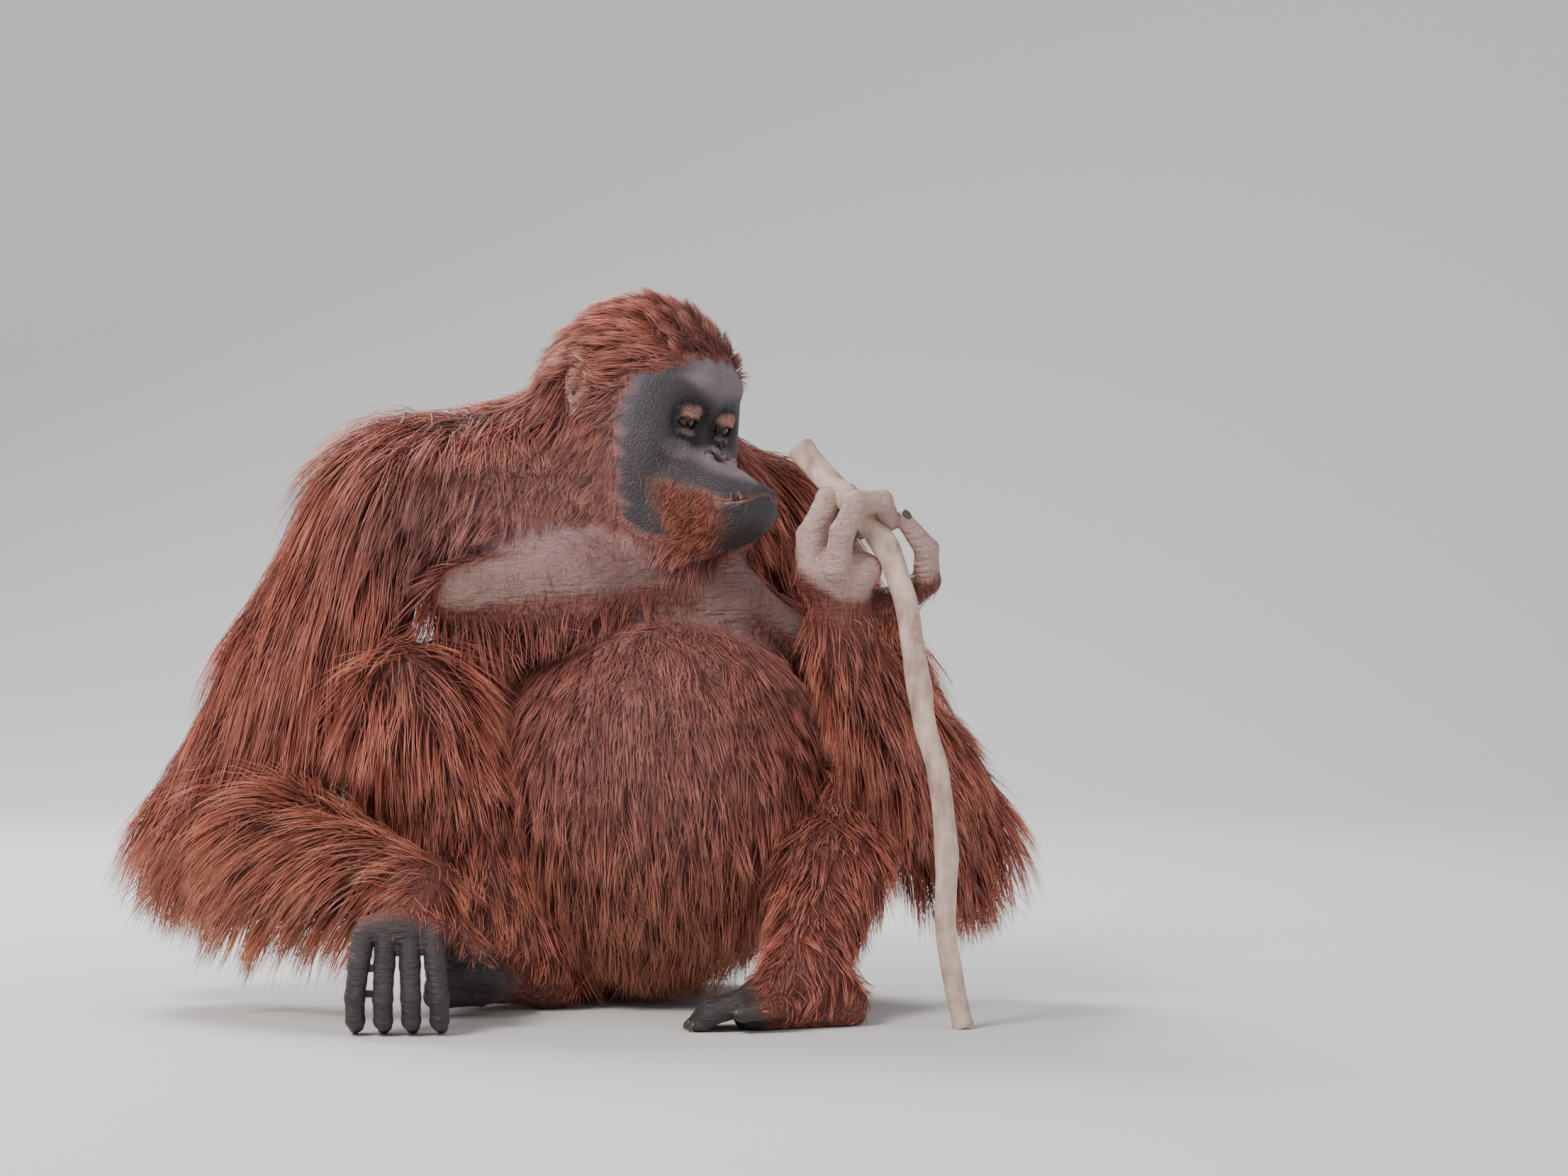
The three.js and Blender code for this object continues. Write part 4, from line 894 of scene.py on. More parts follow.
# %% Colours of the head
# each spot: colour, centre, radii, amount, and whether the face's mask bounds it
SPOTS = [
    # painted shade in the hollow round the eye
    ("socket", (82, 24, -20), (44, 35, 31), 0.97, False),
    ("lid", (84, 25, -13.5), (16, 17, 9.0), 0.9, False),
    ("brow", (85, 25, -31), (14, 14, 4), 0.5, False),
    ("brow", (76, 22, 17), (30, 28, 9), 0.7, True),
    ("brow", (78, 34, -48), (30, 24, 12), 0.5, True),
    ("ear", (-8, 92, -18), (26, 17, 34), 1, False),
    # painted shade in the ear hole, then in the nostril
    ("socket", (-7, 82, -18), (12, 11, 15), 0.85, False),
    ("socket", (105, 8, -49), (19, 8.5, 9), 1, False),
]


def head_colours(c, q, head):
    """Lays the colours of the head over those of the body, with painted shade in its hollows and along the
    mouth.
    """
    c = blend(c, SKIN["neck"], head)
    c = blend(c, SKIN["scalp"], head * ramp(q[:, 2], -10, 20))
    mask = face_mask(q) * head
    c = blend(c, SKIN["face"], mask)
    c = blend(c, SKIN["brow"], mask * spot(q, (84, 0, 24), (40, 50, 30)) * 0.8)
    c = blend(c, SKIN["brow"], mask * spot(q, (118, 0, -54), (46, 40, 24)))
    c = blend(c, SKIN["jaw"], jaw_side(q) * head * 0.9)
    for side in (-1, 1):
        for name, (f, l, u), radii, amount, masked in SPOTS:
            share = spot(q, (f, side * l, u), radii) * amount
            c = blend(c, SKIN[name], mask * share if masked else share)
    to_lip = to_path(q, [head_coordinates(place[None])[0] for place, way in mouth])
    c = blend(c, SKIN["lip"], (1 - ramp(to_lip, 1.8, 4.8)) * 0.85)
    # painted shade along the line of the mouth
    return blend(c, SKIN["socket"], (1 - ramp(to_lip, 0.8, 2.0)) * 0.85)


# %% Colours of the whole skin
def markings(p):
    """The colour of the bare skin at points, in linear light, with painted shade in the head's hollows and
    inside the left fist.
    """
    c = np.tile(np.array(SKIN["limb"]), (len(p), 1))
    c = blend(c, SKIN["belly"], part_of(p, ["belly", "rump"]))
    c = blend(c, SKIN["chest"], part_of(p, ["chest"], 20))
    c = blend(c, SKIN["neck"], part_of(p, ["neck"], 20))
    dark_ends = np.maximum(part_of(p, ["hand_right"], 6), part_of(p, ["foot_right", "foot_left"], 6))
    c = blend(c, SKIN["hand"], dark_ends)
    fist = part_of(p, ["hand_left"], 8)
    c = blend(c, SKIN["fist"], fist)
    # the inside of the left fist round the branch: darker palm skin, deepened by painted shade
    grip_shade = 1 - ramp(np.linalg.norm(p - pose(282, -226, 436), axis=1) / MM, 16, 34)
    c = blend(c, SKIN["brow"], 0.75 * (grip_shade * fist))
    c = head_colours(c, head_coordinates(p), ramp(part_of(p, ["head"], 12), 0.3, 0.7))
    nipple = pose(-112, -100, 356)
    return blend(c, SKIN["pink"], 1 - ramp(np.linalg.norm((p - nipple)[:, [0, 2]], axis=1) / MM, 5, 11))


# %% Vertex colours on a mesh
def paint(mesh, colours, name="tone"):
    layer = mesh.color_attributes.new(name, "FLOAT_COLOR", "POINT")
    rgba = np.ones((len(colours), 4), np.float32)
    rgba[:, :3] = np.clip(colours, 0, 1)
    layer.data.foreach_set("color", rgba.ravel())
    return layer


def number_layer(mesh, name, values):
    layer = mesh.attributes.new(name, "FLOAT", "POINT")
    layer.data.foreach_set("value", np.asarray(values, np.float32))


skin_points = points_of(skin_mesh)
q = head_coordinates(skin_points)
head_share = ramp(part_of(skin_points, ["head"], 12), 0.3, 0.7)
number_layer(skin_mesh, "pebbled", head_share * ramp(q[:, 0], 40, 75) * ramp(-q[:, 2], -20, 10))
shade_smooth(skin_mesh)
print("colours:", len(SKIN), "skin tones,", len(BONES), "bones,", len(SPOTS), "spots a side of the head")

# %% [markdown]
# ## Materials
#
# Every material is procedural: the stored tone, noise that breaks it up, and a bump. The face is
# pebbled like worn leather, chest and knuckles are finely wrinkled.


# %% Small helpers for shader nodes
def finish_with(name, build):
    material = bpy.data.materials.new(name)
    material.use_nodes = True
    build(material.node_tree, material.node_tree.nodes["Principled BSDF"])
    return material


def node(tree, kind, **values):
    made = tree.nodes.new(kind)
    for key, value in values.items():
        if hasattr(made, key):
            setattr(made, key, value)
        else:
            made.inputs[key.replace("_", " ")].default_value = value
    return made


def maths(tree, operation, a, b):
    made = tree.nodes.new("ShaderNodeMath")
    made.operation = operation
    for socket, value in zip(made.inputs, (a, b)):
        if hasattr(value, "is_linked"):
            tree.links.new(value, socket)
        else:
            socket.default_value = value
    return made.outputs[0]


def attribute(tree, name, out="Fac"):
    made = tree.nodes.new("ShaderNodeAttribute")
    made.attribute_name = name
    return made.outputs[out]


def noise_of(tree, place, scale, detail, stretch=None):
    """Noise at a place, drawn out along the axes whose stretch is below 1."""
    noise = node(tree, "ShaderNodeTexNoise", Scale=scale, Detail=detail)
    if stretch:
        mapping = node(tree, "ShaderNodeMapping")
        mapping.inputs["Scale"].default_value = stretch
        tree.links.new(place, mapping.inputs["Vector"])
        place = mapping.outputs[0]
    tree.links.new(place, noise.inputs["Vector"])
    return noise.outputs["Fac"]


def swing_of(tree, value, amount):
    """A noise value turned into a swing round 0."""
    return maths(tree, "MULTIPLY", maths(tree, "SUBTRACT", value, 0.5), amount)


def add_bump(tree, shader, height, strength, distance):
    bump = node(tree, "ShaderNodeBump", Strength=strength, Distance=distance)
    tree.links.new(height, bump.inputs["Height"])
    tree.links.new(bump.outputs["Normal"], shader.inputs["Normal"])


# %% Skin material
def skin_build(tree, shader):
    place = tree.nodes.new("ShaderNodeTexCoord").outputs["Object"]
    blotch = noise_of(tree, place, 22.0, 4.0)
    fine = noise_of(tree, place, 330.0, 3.0)
    crease = noise_of(tree, place, 150.0, 5.0, (0.45, 0.45, 1.6))
    streak = noise_of(tree, place, 420.0, 2.0, (1.0, 1.0, 0.12))
    pebble = node(tree, "ShaderNodeTexVoronoi", Scale=430.0)
    tree.links.new(place, pebble.inputs["Vector"])
    hue = node(tree, "ShaderNodeHueSaturation")
    tree.links.new(attribute(tree, "tone", "Color"), hue.inputs["Color"])
    light, grain = swing_of(tree, blotch, 0.9), swing_of(tree, fine, 0.7)
    hairs = swing_of(tree, streak, maths(tree, "MULTIPLY", attribute(tree, "furry"), 2.4))
    value = maths(tree, "ADD", maths(tree, "ADD", light, grain), maths(tree, "ADD", hairs, 1.0))
    tree.links.new(value, hue.inputs["Value"])
    tree.links.new(hue.outputs["Color"], shader.inputs["Base Color"])
    bumps = maths(tree, "MULTIPLY", pebble.outputs["Distance"], attribute(tree, "pebbled"))
    creases = maths(tree, "MULTIPLY", crease, attribute(tree, "wrinkled"))
    height = maths(tree, "ADD", maths(tree, "MULTIPLY", bumps, -0.8), maths(tree, "MULTIPLY", creases, 4.0))
    height = maths(tree, "ADD", height, maths(tree, "MULTIPLY", hairs, 0.8))
    height = maths(tree, "ADD", height, maths(tree, "MULTIPLY", fine, 0.5))
    add_bump(tree, shader, height, 0.8, 0.0018)
    shader.inputs["Roughness"].default_value = 0.52
    shader.inputs["Specular IOR Level"].default_value = 0.42
    shader.inputs["Subsurface Weight"].default_value = 0.06
    shader.inputs["Subsurface Radius"].default_value = (0.008, 0.004, 0.002)
    shader.inputs["Subsurface Scale"].default_value = 1.0


def hair_build(tree, shader):
    tree.links.new(attribute(tree, "tone", "Color"), shader.inputs["Base Color"])
    shader.inputs["Roughness"].default_value = 0.48
    shader.inputs["Specular IOR Level"].default_value = 0.3
    shader.inputs["Sheen Weight"].default_value = 0.12
    shader.inputs["Sheen Roughness"].default_value = 0.4


SKIN_FINISH = finish_with("skin", skin_build)
HAIR_FINISH = finish_with("hair", hair_build)
skin_mesh.materials.append(SKIN_FINISH)
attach(skin, "root")
FLESH = [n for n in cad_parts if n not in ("stick", "eye_left", "eye_right")]
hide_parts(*FLESH)
print("skin stands for", len(FLESH), "nodes")

# %% [markdown]
# ## The coat
#
# Every hair strand is a thin closed spike with a flat three-sided section. Its root is drawn at random
# on the skin, more often where the coat is thick. The nearest bones say how long it is and which way
# it lies. Neighbours are drawn together into wisps, gravity bends them, and the field keeps each one
# outside the skin. Its root lies just under the surface.

# %% Where hair grows, and how
rng = np.random.default_rng(11)
DOWN = np.array([0, 0, -1.0])
# length mm, width mm, strands per square metre, lift degrees, droop per mm, lie, wave
STYLES = {
    "upper_arm_right": (92, 1.5, 46000, 25, 0.010, (-0.45, 0.05, -0.95), 1.0),
    "upper_arm_left": (84, 1.5, 42000, 24, 0.010, (0.35, -0.15, -0.95), 1.0),
    "forearm_right": (76, 1.5, 50000, 26, 0.011, (-0.62, 0.45, -0.45), 1.0),
    "forearm_left": (66, 1.4, 46000, 24, 0.012, (0.4, 0.45, -0.75), 1.0),
    "thigh_right": (62, 1.4, 46000, 20, 0.008, (0.25, 0.1, -1.0), 1.0),
    "thigh_left": (48, 1.4, 42000, 18, 0.008, (0.25, 0.2, -1.0), 1.0),
    "shin_right": (42, 1.3, 50000, 16, 0.006, (0.2, -0.05, -1.0), 0.9),
    "shin_left": (40, 1.3, 48000, 16, 0.006, (0.1, -0.2, -1.0), 0.9),
    "rump": (60, 1.6, 34000, 16, 0.008, (0.1, 0.25, -1.0), 1.0),
    "chest": (62, 1.6, 38000, 16, 0.008, (0.0, 0.3, -1.0), 1.0),
    "belly": (50, 1.1, 52000, 11, 0.007, (0.05, -0.1, -1.0), 1.1),
    "neck": (34, 1.0, 120000, 14, 0.006, (0.0, 0.25, -1.0), 0.8),
    "head": (30, 0.85, 220000, 24, 0.003, (0.0, 0.3, -1.0), 0.8),
    "hand_right": (16, 1.0, 30000, 12, 0.002, (0.0, -0.5, -1.0), 0.4),
    "hand_left": (14, 0.9, 22000, 12, 0.002, (0.0, 0.2, -1.0), 0.4),
    "foot_right": (13, 0.9, 30000, 12, 0.002, (-0.8, -0.4, -0.2), 0.4),
    "foot_left": (13, 0.9, 30000, 12, 0.002, (-0.8, -0.6, -0.2), 0.4),
}
LIES = np.array([STYLES[n][5] for n in BONE_NAMES], float)
LIES /= np.linalg.norm(LIES, axis=1, keepdims=True)
# root is painted shade: the strands darken toward the skin, deep in the shaded coat
HAIR = {"root": (0.095, 0.023, 0.018), "mid": (0.41, 0.100, 0.066), "tip": (0.74, 0.285, 0.200),
        "bright": (0.74, 0.26, 0.115), "dark": (0.085, 0.030, 0.026), "mauve": (0.34, 0.130, 0.115),
        "rose": (0.52, 0.25, 0.215), "beard": (0.42, 0.125, 0.055)}
DIGIT_ENDS = ["hand_right", "hand_left", "foot_right", "foot_left"]
print("coat styles for", len(STYLES), "bones,", len(HAIR), "hair colours")


# %% Regions where the coat thins out
def within(p, centre, radii):
    """How far points lie from a centre, as a share of three radii in metres."""
    return np.linalg.norm((p - pose(*centre)) / np.array(radii), axis=1)


def bare_chest(p, normals):
    """The nearly bare band over the breasts and the upper chest, 0 to 1."""
    to = np.min([distance(form, p) for form in breasts], axis=0)
    band = 1 - ramp(to / MM, 8, 26)
    front = ramp(normals @ AHEAD, -0.1, 0.35) * ramp(normals[:, 2], -0.45, -0.1)
    high = p[:, 2] / MM
    upper = ramp(high, 395, 425) * (1 - ramp(high, 470, 500)) * ramp(normals @ AHEAD, 0.1, 0.5)
    return np.maximum(band * front, 0.4 * upper * part_of(p, ["chest", "belly", "neck"], 14))


def mauve_front(p, normals):
    """The thinly haired mauve skin from the cheek over the neck to the front of the shoulder, 0 to 1."""
    side = within(p, (-62, -96, 452), (0.105, 0.12, 0.085))
    neck = within(p, (20, -70, 470), (0.09, 0.10, 0.07))
    pale = np.maximum(1 - ramp(side, 0.6, 1.05), 1 - ramp(neck, 0.6, 1.05))
    return pale * ramp(-normals[:, 1], -0.25, 0.25)


def bare_ears(q):
    """1 on the ears, 0 a little way off."""
    bare = np.zeros(len(q))
    for side in (-1, 1):
        away = np.linalg.norm((q - np.array([-8, side * 91, -18])) / np.array([1, 1, 1.35]), axis=1)
        bare = np.maximum(bare, 1 - ramp(away, 16, 20))
    return bare


# %% Regions where the coat is longer
def long_parts(p, normals):
    """The cape, the elbow's fringe, the knee, the gap beside the flank and the low belly, 0 to 1."""
    cape = ramp(part_of(p, ["chest", "upper_arm_right", "upper_arm_left"], 14), 0.4, 0.8)
    cape = cape * ramp(normals[:, 2], -0.2, 0.5)
    forearms = ramp(part_of(p, ["forearm_right", "forearm_left"], 14), 0.4, 0.8)
    fringe = ramp(-normals[:, 2], 0.1, 0.8) * forearms
    knee = np.exp(-(np.linalg.norm(p - J["knee_right"], axis=1) / 0.07) ** 2)
    gap = np.exp(-within(p, (-190, -40, 300), (0.10, 0.12, 0.13)) ** 2)
    low_belly = part_of(p, ["belly"], 14) * ramp(-p[:, 2] / MM, -250, -110)
    return cape, fringe, knee, gap, low_belly


# %% The way the hair lies
def lying(q, w, on_head, high):
    """Along the bones. On the head, back from the hairline above and down the cheeks below."""
    n = len(q)
    lie = w @ LIES
    fall = -0.25 - 0.004 * np.maximum(0, -q[:, 0])
    back = np.stack([-np.ones(n), 0.012 * q[:, 1], fall], axis=1) @ HEAD_AXES.T
    cheek = np.tile(HEAD_AXES @ np.array([-0.35, 0, -1.0]), (n, 1))
    cheek += np.sign(q[:, 1])[:, None] * 0.15 * (HEAD_AXES @ np.array([0, 1.0, 0]))
    return lie + on_head[:, None] * (high[:, None] * back + (1 - high)[:, None] * cheek - lie)


# %% The coat's style at any point
def column(i):
    return np.array([STYLES[n][i] for n in BONE_NAMES], float)


def styles_at(p, normals):
    """Length, width, density, lift and way of lying at skin points, and the regions they belong to."""
    w = bone_weights(p, 12)
    q = head_coordinates(p)
    s = {name: w @ column(i) for name, i in
         (("length", 0), ("width", 1), ("density", 2), ("lift", 3), ("droop", 4), ("wave", 6))}
    on_head = ramp(w[:, BONE_NAMES.index("head")], 0.3, 0.7)
    high = ramp(q[:, 2], -50, -5)
    beard = on_head * jaw_side(q)
    cheeks = on_head * (1 - ramp(q[:, 2], -40, -10)) * ramp(q[:, 0], -30, 20) * (1 - beard)
    roll = bare_chest(p, normals)
    pale = mauve_front(p, normals)
    throat = ramp(part_of(p, ["neck"], 18), 0.3, 0.7) * ramp(normals @ AHEAD, 0.0, 0.5)
    ends = w[:, [BONE_NAMES.index(n) for n in DIGIT_ENDS]].sum(axis=1)
    cover = (1 - on_head * face_mask(q)) * (1 - bare_ears(q))
    cover = np.maximum(cover, beard * 0.6)
    for region, thinner in ((cheeks, 0.15), (roll, 0.9), (pale, 0.2), (throat, 0.45)):
        cover *= 1 - thinner * region
    cover *= 1 - ramp(ends, 0.6, 1.0) * 0.95
    s["density"] = s["density"] * cover * (1 + 1.2 * pale)
    s["width"] = s["width"] * (1 - 0.45 * pale) * (0.5 + 0.5 * ramp(cover, 0.1, 0.7)) * (1 - 0.25 * beard)
    s["length"] = s["length"] * (1 - 0.5 * pale)
    s["length"] = s["length"] * (1 - 0.52 * beard) * (1 - 0.5 * roll) * (1 - 0.3 * cheeks)
    brow = 1 - 0.3 * ramp(q[:, 0], 20, 60) * high
    s["length"] = np.where(on_head > 0.5, s["length"] * brow, s["length"])
    s["length"] *= 1 - 0.5 * ramp(ends, 0.2, 0.8)
    cape, fringe, knee, gap, low_belly = long_parts(p, normals)
    for region, more in ((cape, 0.25), (fringe, 0.3), (knee, 0.45), (gap, 0.8), (low_belly, 0.55)):
        s["length"] *= 1 + more * region
    s["density"] = s["density"] * (1 + 0.5 * gap)
    framing = on_head * ramp(q[:, 1], 30, 50) * ramp(q[:, 0], -40, 10)
    for region, degrees in ((knee, 14), (low_belly, 6), (framing, 26)):
        s["lift"] = s["lift"] + degrees * region
    s["lie"] = lying(q, w, on_head, high)
    s["cover"], s["pale"], s["on_head"], s["beard"], s["high"] = cover, pale, on_head, beard, high
    return s


# %% Where the coat is thick, the skin is painted the dark maroon of the shade deep in the coat
skin_normals = slope(skin_points)
under = styles_at(skin_points, skin_normals)
head_points = head_coordinates(skin_points)
side_of_head = under["on_head"] * ramp(-head_points[:, 2], -10, 20)
mauve_part = np.maximum(part_of(skin_points, ["belly", "neck"], 16), under["pale"])
mauve_part = np.clip(np.maximum(mauve_part, side_of_head) * (1 - under["beard"]), 0, 1)
# painted shade: gaps between the strands show this dark maroon as the coat's depth
coat_depth_shade = np.tile(np.array([0.14, 0.036, 0.025]), (len(skin_points), 1))
coat_depth_shade = blend(coat_depth_shade, (0.26, 0.10, 0.085), mauve_part)
bare = markings(skin_points)
covered = ramp(under["cover"], 0.06, 0.45)[:, None]
paint(skin_mesh, bare + (coat_depth_shade - bare) * covered)
number_layer(skin_mesh, "furry", covered.ravel())
limbs_end = part_of(skin_points, DIGIT_ENDS, 8)
folds = np.maximum(part_of(skin_points, ["chest", "neck"], 20), bare_chest(skin_points, skin_normals))
number_layer(skin_mesh, "wrinkled", np.maximum(folds * 1.3 * (1 - under["on_head"]), limbs_end))
print("skin covered by the coat:", round(100 * float(covered.mean())), "% of its points")

# %% Roots on the skin
skin_mesh.calc_loop_triangles()
triangles = np.zeros(len(skin_mesh.loop_triangles) * 3, np.int64)
skin_mesh.loop_triangles.foreach_get("vertices", triangles)
triangles = triangles.reshape(-1, 3)
corner = skin_points[triangles]
cross = np.cross(corner[:, 1] - corner[:, 0], corner[:, 2] - corner[:, 0])
area = np.linalg.norm(cross, axis=1) / 2
face_normal = cross / np.maximum(area[:, None] * 2, 1e-12)
centre = corner.mean(axis=1)
style = styles_at(centre, face_normal)
COAT_SHARE = 1.0
expected = area * style["density"] * COAT_SHARE * (centre[:, 2] > 0.004)
count = rng.poisson(expected)
chosen = np.repeat(np.arange(len(count)), count)
r = rng.random((len(chosen), 2))
flip = r.sum(axis=1) > 1
r[flip] = 1 - r[flip]
edge_1, edge_2 = corner[chosen, 1] - corner[chosen, 0], corner[chosen, 2] - corner[chosen, 0]
roots = corner[chosen, 0] + r[:, :1] * edge_1 + r[:, 1:] * edge_2
normals = slope(roots)
style = styles_at(roots, normals)
print("skin area", round(area.sum(), 3), "square metres;", len(roots), "strands")


# %% Growing the strands
def grow(roots, normals, style, rings=5):
    """The middle line of every strand: rings + 1 points from root to tip."""
    n = len(roots)
    lie = style["lie"] + rng.normal(0, 0.21, (n, 3)) * style["wave"][:, None]
    lie -= (lie * normals).sum(axis=1, keepdims=True) * normals
    lie /= np.maximum(np.linalg.norm(lie, axis=1, keepdims=True), 1e-6)
    lift = np.radians(style["lift"] * rng.uniform(0.6, 1.3, n))
    way = lie * np.cos(lift)[:, None] + normals * np.sin(lift)[:, None]
    length = style["length"] * MM * rng.uniform(0.6, 1.12, n)
    step = length / rings
    line = [roots - normals * 1.2 * MM]
    swing = rng.normal(0, 1, (n, 3))
    here = roots.copy()
    for i in range(rings):
        way = way + DOWN * (style["droop"] * step / MM)[:, None]
        way = way + swing * (0.10 * style["wave"])[:, None] * math.sin(2.4 * i + 1)
        way /= np.linalg.norm(way, axis=1, keepdims=True)
        here = here + way * step[:, None]
        d = sample(here)
        wanted = (1.0 + 1.6 * i) * MM * np.minimum(1, style["length"] / 40)
        low = d < wanted
        if low.any():
            push = slope(here[low])
            here[low] += push * (wanted - d)[low][:, None]
            away = way[low]
            into = np.minimum((away * push).sum(axis=1, keepdims=True), 0)
            away = away - into * push
            way[low] = away / np.maximum(np.linalg.norm(away, axis=1, keepdims=True), 1e-6)
        here[:, 2] = np.maximum(here[:, 2], 2.0 * MM)
        line.append(here.copy())
    return np.stack(line, axis=1), length


# %% Wisps
def draw_together(line, roots, cell, amount):
    """Pulls strands toward the strand that leads their cell, more so at the tip."""
    jitter = rng.normal(0, cell * 0.25, roots.shape)
    key = np.floor((roots + jitter) / cell).astype(np.int64)
    key = key[:, 0] * 1000003 + key[:, 1] * 1009 + key[:, 2]
    order = np.argsort(key, kind="stable")
    _, first, inverse = np.unique(key[order], return_index=True, return_inverse=True)
    leader = np.empty(len(key), np.int64)
    leader[order] = order[first][inverse.ravel()]
    offset = line[:, 0] - line[leader, 0]
    t = np.linspace(0, 1, line.shape[1])[None, :, None]
    led = line[leader] + offset[:, None] * (1 - 0.85 * t ** 0.8)
    return line + (led - line) * amount * ramp(t, 0, 0.6), leader


# %% All the strands
RINGS = 4
WISP, GATHERING = 14 * MM, 0.66
ABOVE_FLOOR, ROOT_ABOVE_FLOOR = 2.0 * MM, 1.6 * MM
line, length = grow(roots, normals, style, RINGS)
line, leader = draw_together(line, roots, WISP, GATHERING)
line[:, 1:, 2] = np.maximum(line[:, 1:, 2], ABOVE_FLOOR)
line[:, 0, 2] = np.maximum(line[:, 0, 2], ROOT_ABOVE_FLOOR)
print("strands:", len(line), "of", RINGS, "rings, on average", round(float(length.mean()) / MM), "mm long")

# %% Colours of the strands
tone = rng.normal(0, 1, len(roots)) * 0.5 + rng.normal(0, 1, len(roots))[leader] * 0.8
bone_share = {n: part_of(roots, [n], 14) for n in ("belly", "neck", "forearm_right")}
q = head_coordinates(roots)
rings_all = line.shape[1]
t = np.linspace(0, 1, rings_all)[None, :, None]
belly_or_neck = np.maximum(bone_share["belly"], bone_share["neck"])
side_of_face = np.maximum(style["on_head"] * ramp(-q[:, 2], -8, 22), 0.8 * bone_share["neck"])
side_of_face = np.maximum(side_of_face * ramp(q[:, 0], -70, -20), style["pale"]) * (1 - style["beard"])
hairline = style["on_head"] * style["high"] * ramp(q[:, 0], 0, 46) * (1 - ramp(np.abs(q[:, 1]), 26, 50))
low_part = ramp(-roots[:, 2] / MM, -230, -120)
orange = np.maximum(0.6 * bone_share["forearm_right"], 0.6 * bone_share["belly"] * low_part)
orange = np.maximum(style["beard"], orange)
mid = np.tile(np.array(HAIR["mid"]), (len(roots), 1))
tip = np.tile(np.array(HAIR["tip"]), (len(roots), 1))
for region, mid_colour, mid_share, tip_colour, tip_share in (
        (belly_or_neck, "mauve", 0.55, "mauve", 0.35), (side_of_face, "mauve", 0.8, "rose", 0.85),
        (hairline, "dark", 0.75, "mauve", 0.7), (orange, "beard", 0.7, "bright", 0.6)):
    mid = blend(mid, HAIR[mid_colour], mid_share * region)
    tip = blend(tip, HAIR[tip_colour], tip_share * region)
bright = np.clip(1 + 0.30 * tone, 0.35, 1.9)[:, None]
mid, tip = mid * bright, tip * bright
# painted shade: each strand is darkest at its root, deep in the coat
root_shade = np.tile(np.array(HAIR["root"]), (len(roots), 1)) * np.clip(bright, 0.6, 1.3)
strand_colour = np.where(t < 0.5, root_shade[:, None] + (mid - root_shade)[:, None] * (t / 0.5),
                         mid[:, None] + (tip - mid)[:, None] * ((t - 0.5) / 0.5))
print("strand colours: middle", np.round(mid.mean(axis=0), 3), "tip", np.round(tip.mean(axis=0), 3))


# %% Spikes from the middle lines
def spikes(line, width, normals):
    """Closed three-sided spikes: points, faces and each point's ring number."""
    n, m, _ = line.shape
    way = np.gradient(line, axis=1)
    way /= np.maximum(np.linalg.norm(way, axis=2, keepdims=True), 1e-9)
    side = np.cross(way, normals[:, None, :])
    side /= np.maximum(np.linalg.norm(side, axis=2, keepdims=True), 1e-9)
    out = np.cross(side, way)
    t = np.linspace(0, 1, m)[None, :, None]
    half = width[:, None, None] * MM / 2 * (0.75 + 0.6 * t) * (1 - t ** 1.8)
    rings = m - 1
    a = line[:, :rings] + side[:, :rings] * half[:, :rings]
    b = line[:, :rings] - side[:, :rings] * half[:, :rings]
    c = line[:, :rings] + out[:, :rings] * half[:, :rings] * 0.7
    body = np.stack([a, b, c], axis=2).reshape(n, rings * 3, 3)
    points = np.concatenate([body, line[:, -1:]], axis=1)
    faces = [(0, 1, 2)]
    for i in range(rings - 1):
        for j in range(3):
            k = (j + 1) % 3
            faces.append((3 * i + j, 3 * (i + 1) + j, 3 * (i + 1) + k))
            faces.append((3 * i + j, 3 * (i + 1) + k, 3 * i + k))
    for j in range(3):
        faces.append((3 * (rings - 1) + j, 3 * rings, 3 * (rings - 1) + (j + 1) % 3))
    ring = np.concatenate([np.repeat(np.arange(rings), 3), [rings]])
    return points, np.array(faces), ring


# %% Places on the OFBake map
def atlas_place(roots, nearest):
    """A root's place on an unwrap of the body: one tile a bone, wrapped round it and along it."""
    uv = np.zeros((len(roots), 2))
    for i, (a, b, _) in enumerate(BONES.values()):
        mine = nearest == i
        if not mine.any():
            continue
        axis = unit(b - a)
        u = unit(np.cross(axis, (0.3, 0.9, 0.2)))
        v = np.cross(axis, u)
        d = roots[mine] - a
        angle = np.arctan2(d @ v, d @ u) / (2 * math.pi) + 0.5
        way = (d @ axis) / np.linalg.norm(b - a)
        way = 0.5 + 0.45 * np.tanh((way - 0.5) * 1.3)
        tile = np.array([i % 5, i // 5]) / 5
        uv[mine] = tile + np.stack([0.01 + 0.178 * angle, 0.01 + 0.178 * way], axis=1)
    return uv


# %% One piece of the coat
PATCH = 0.003


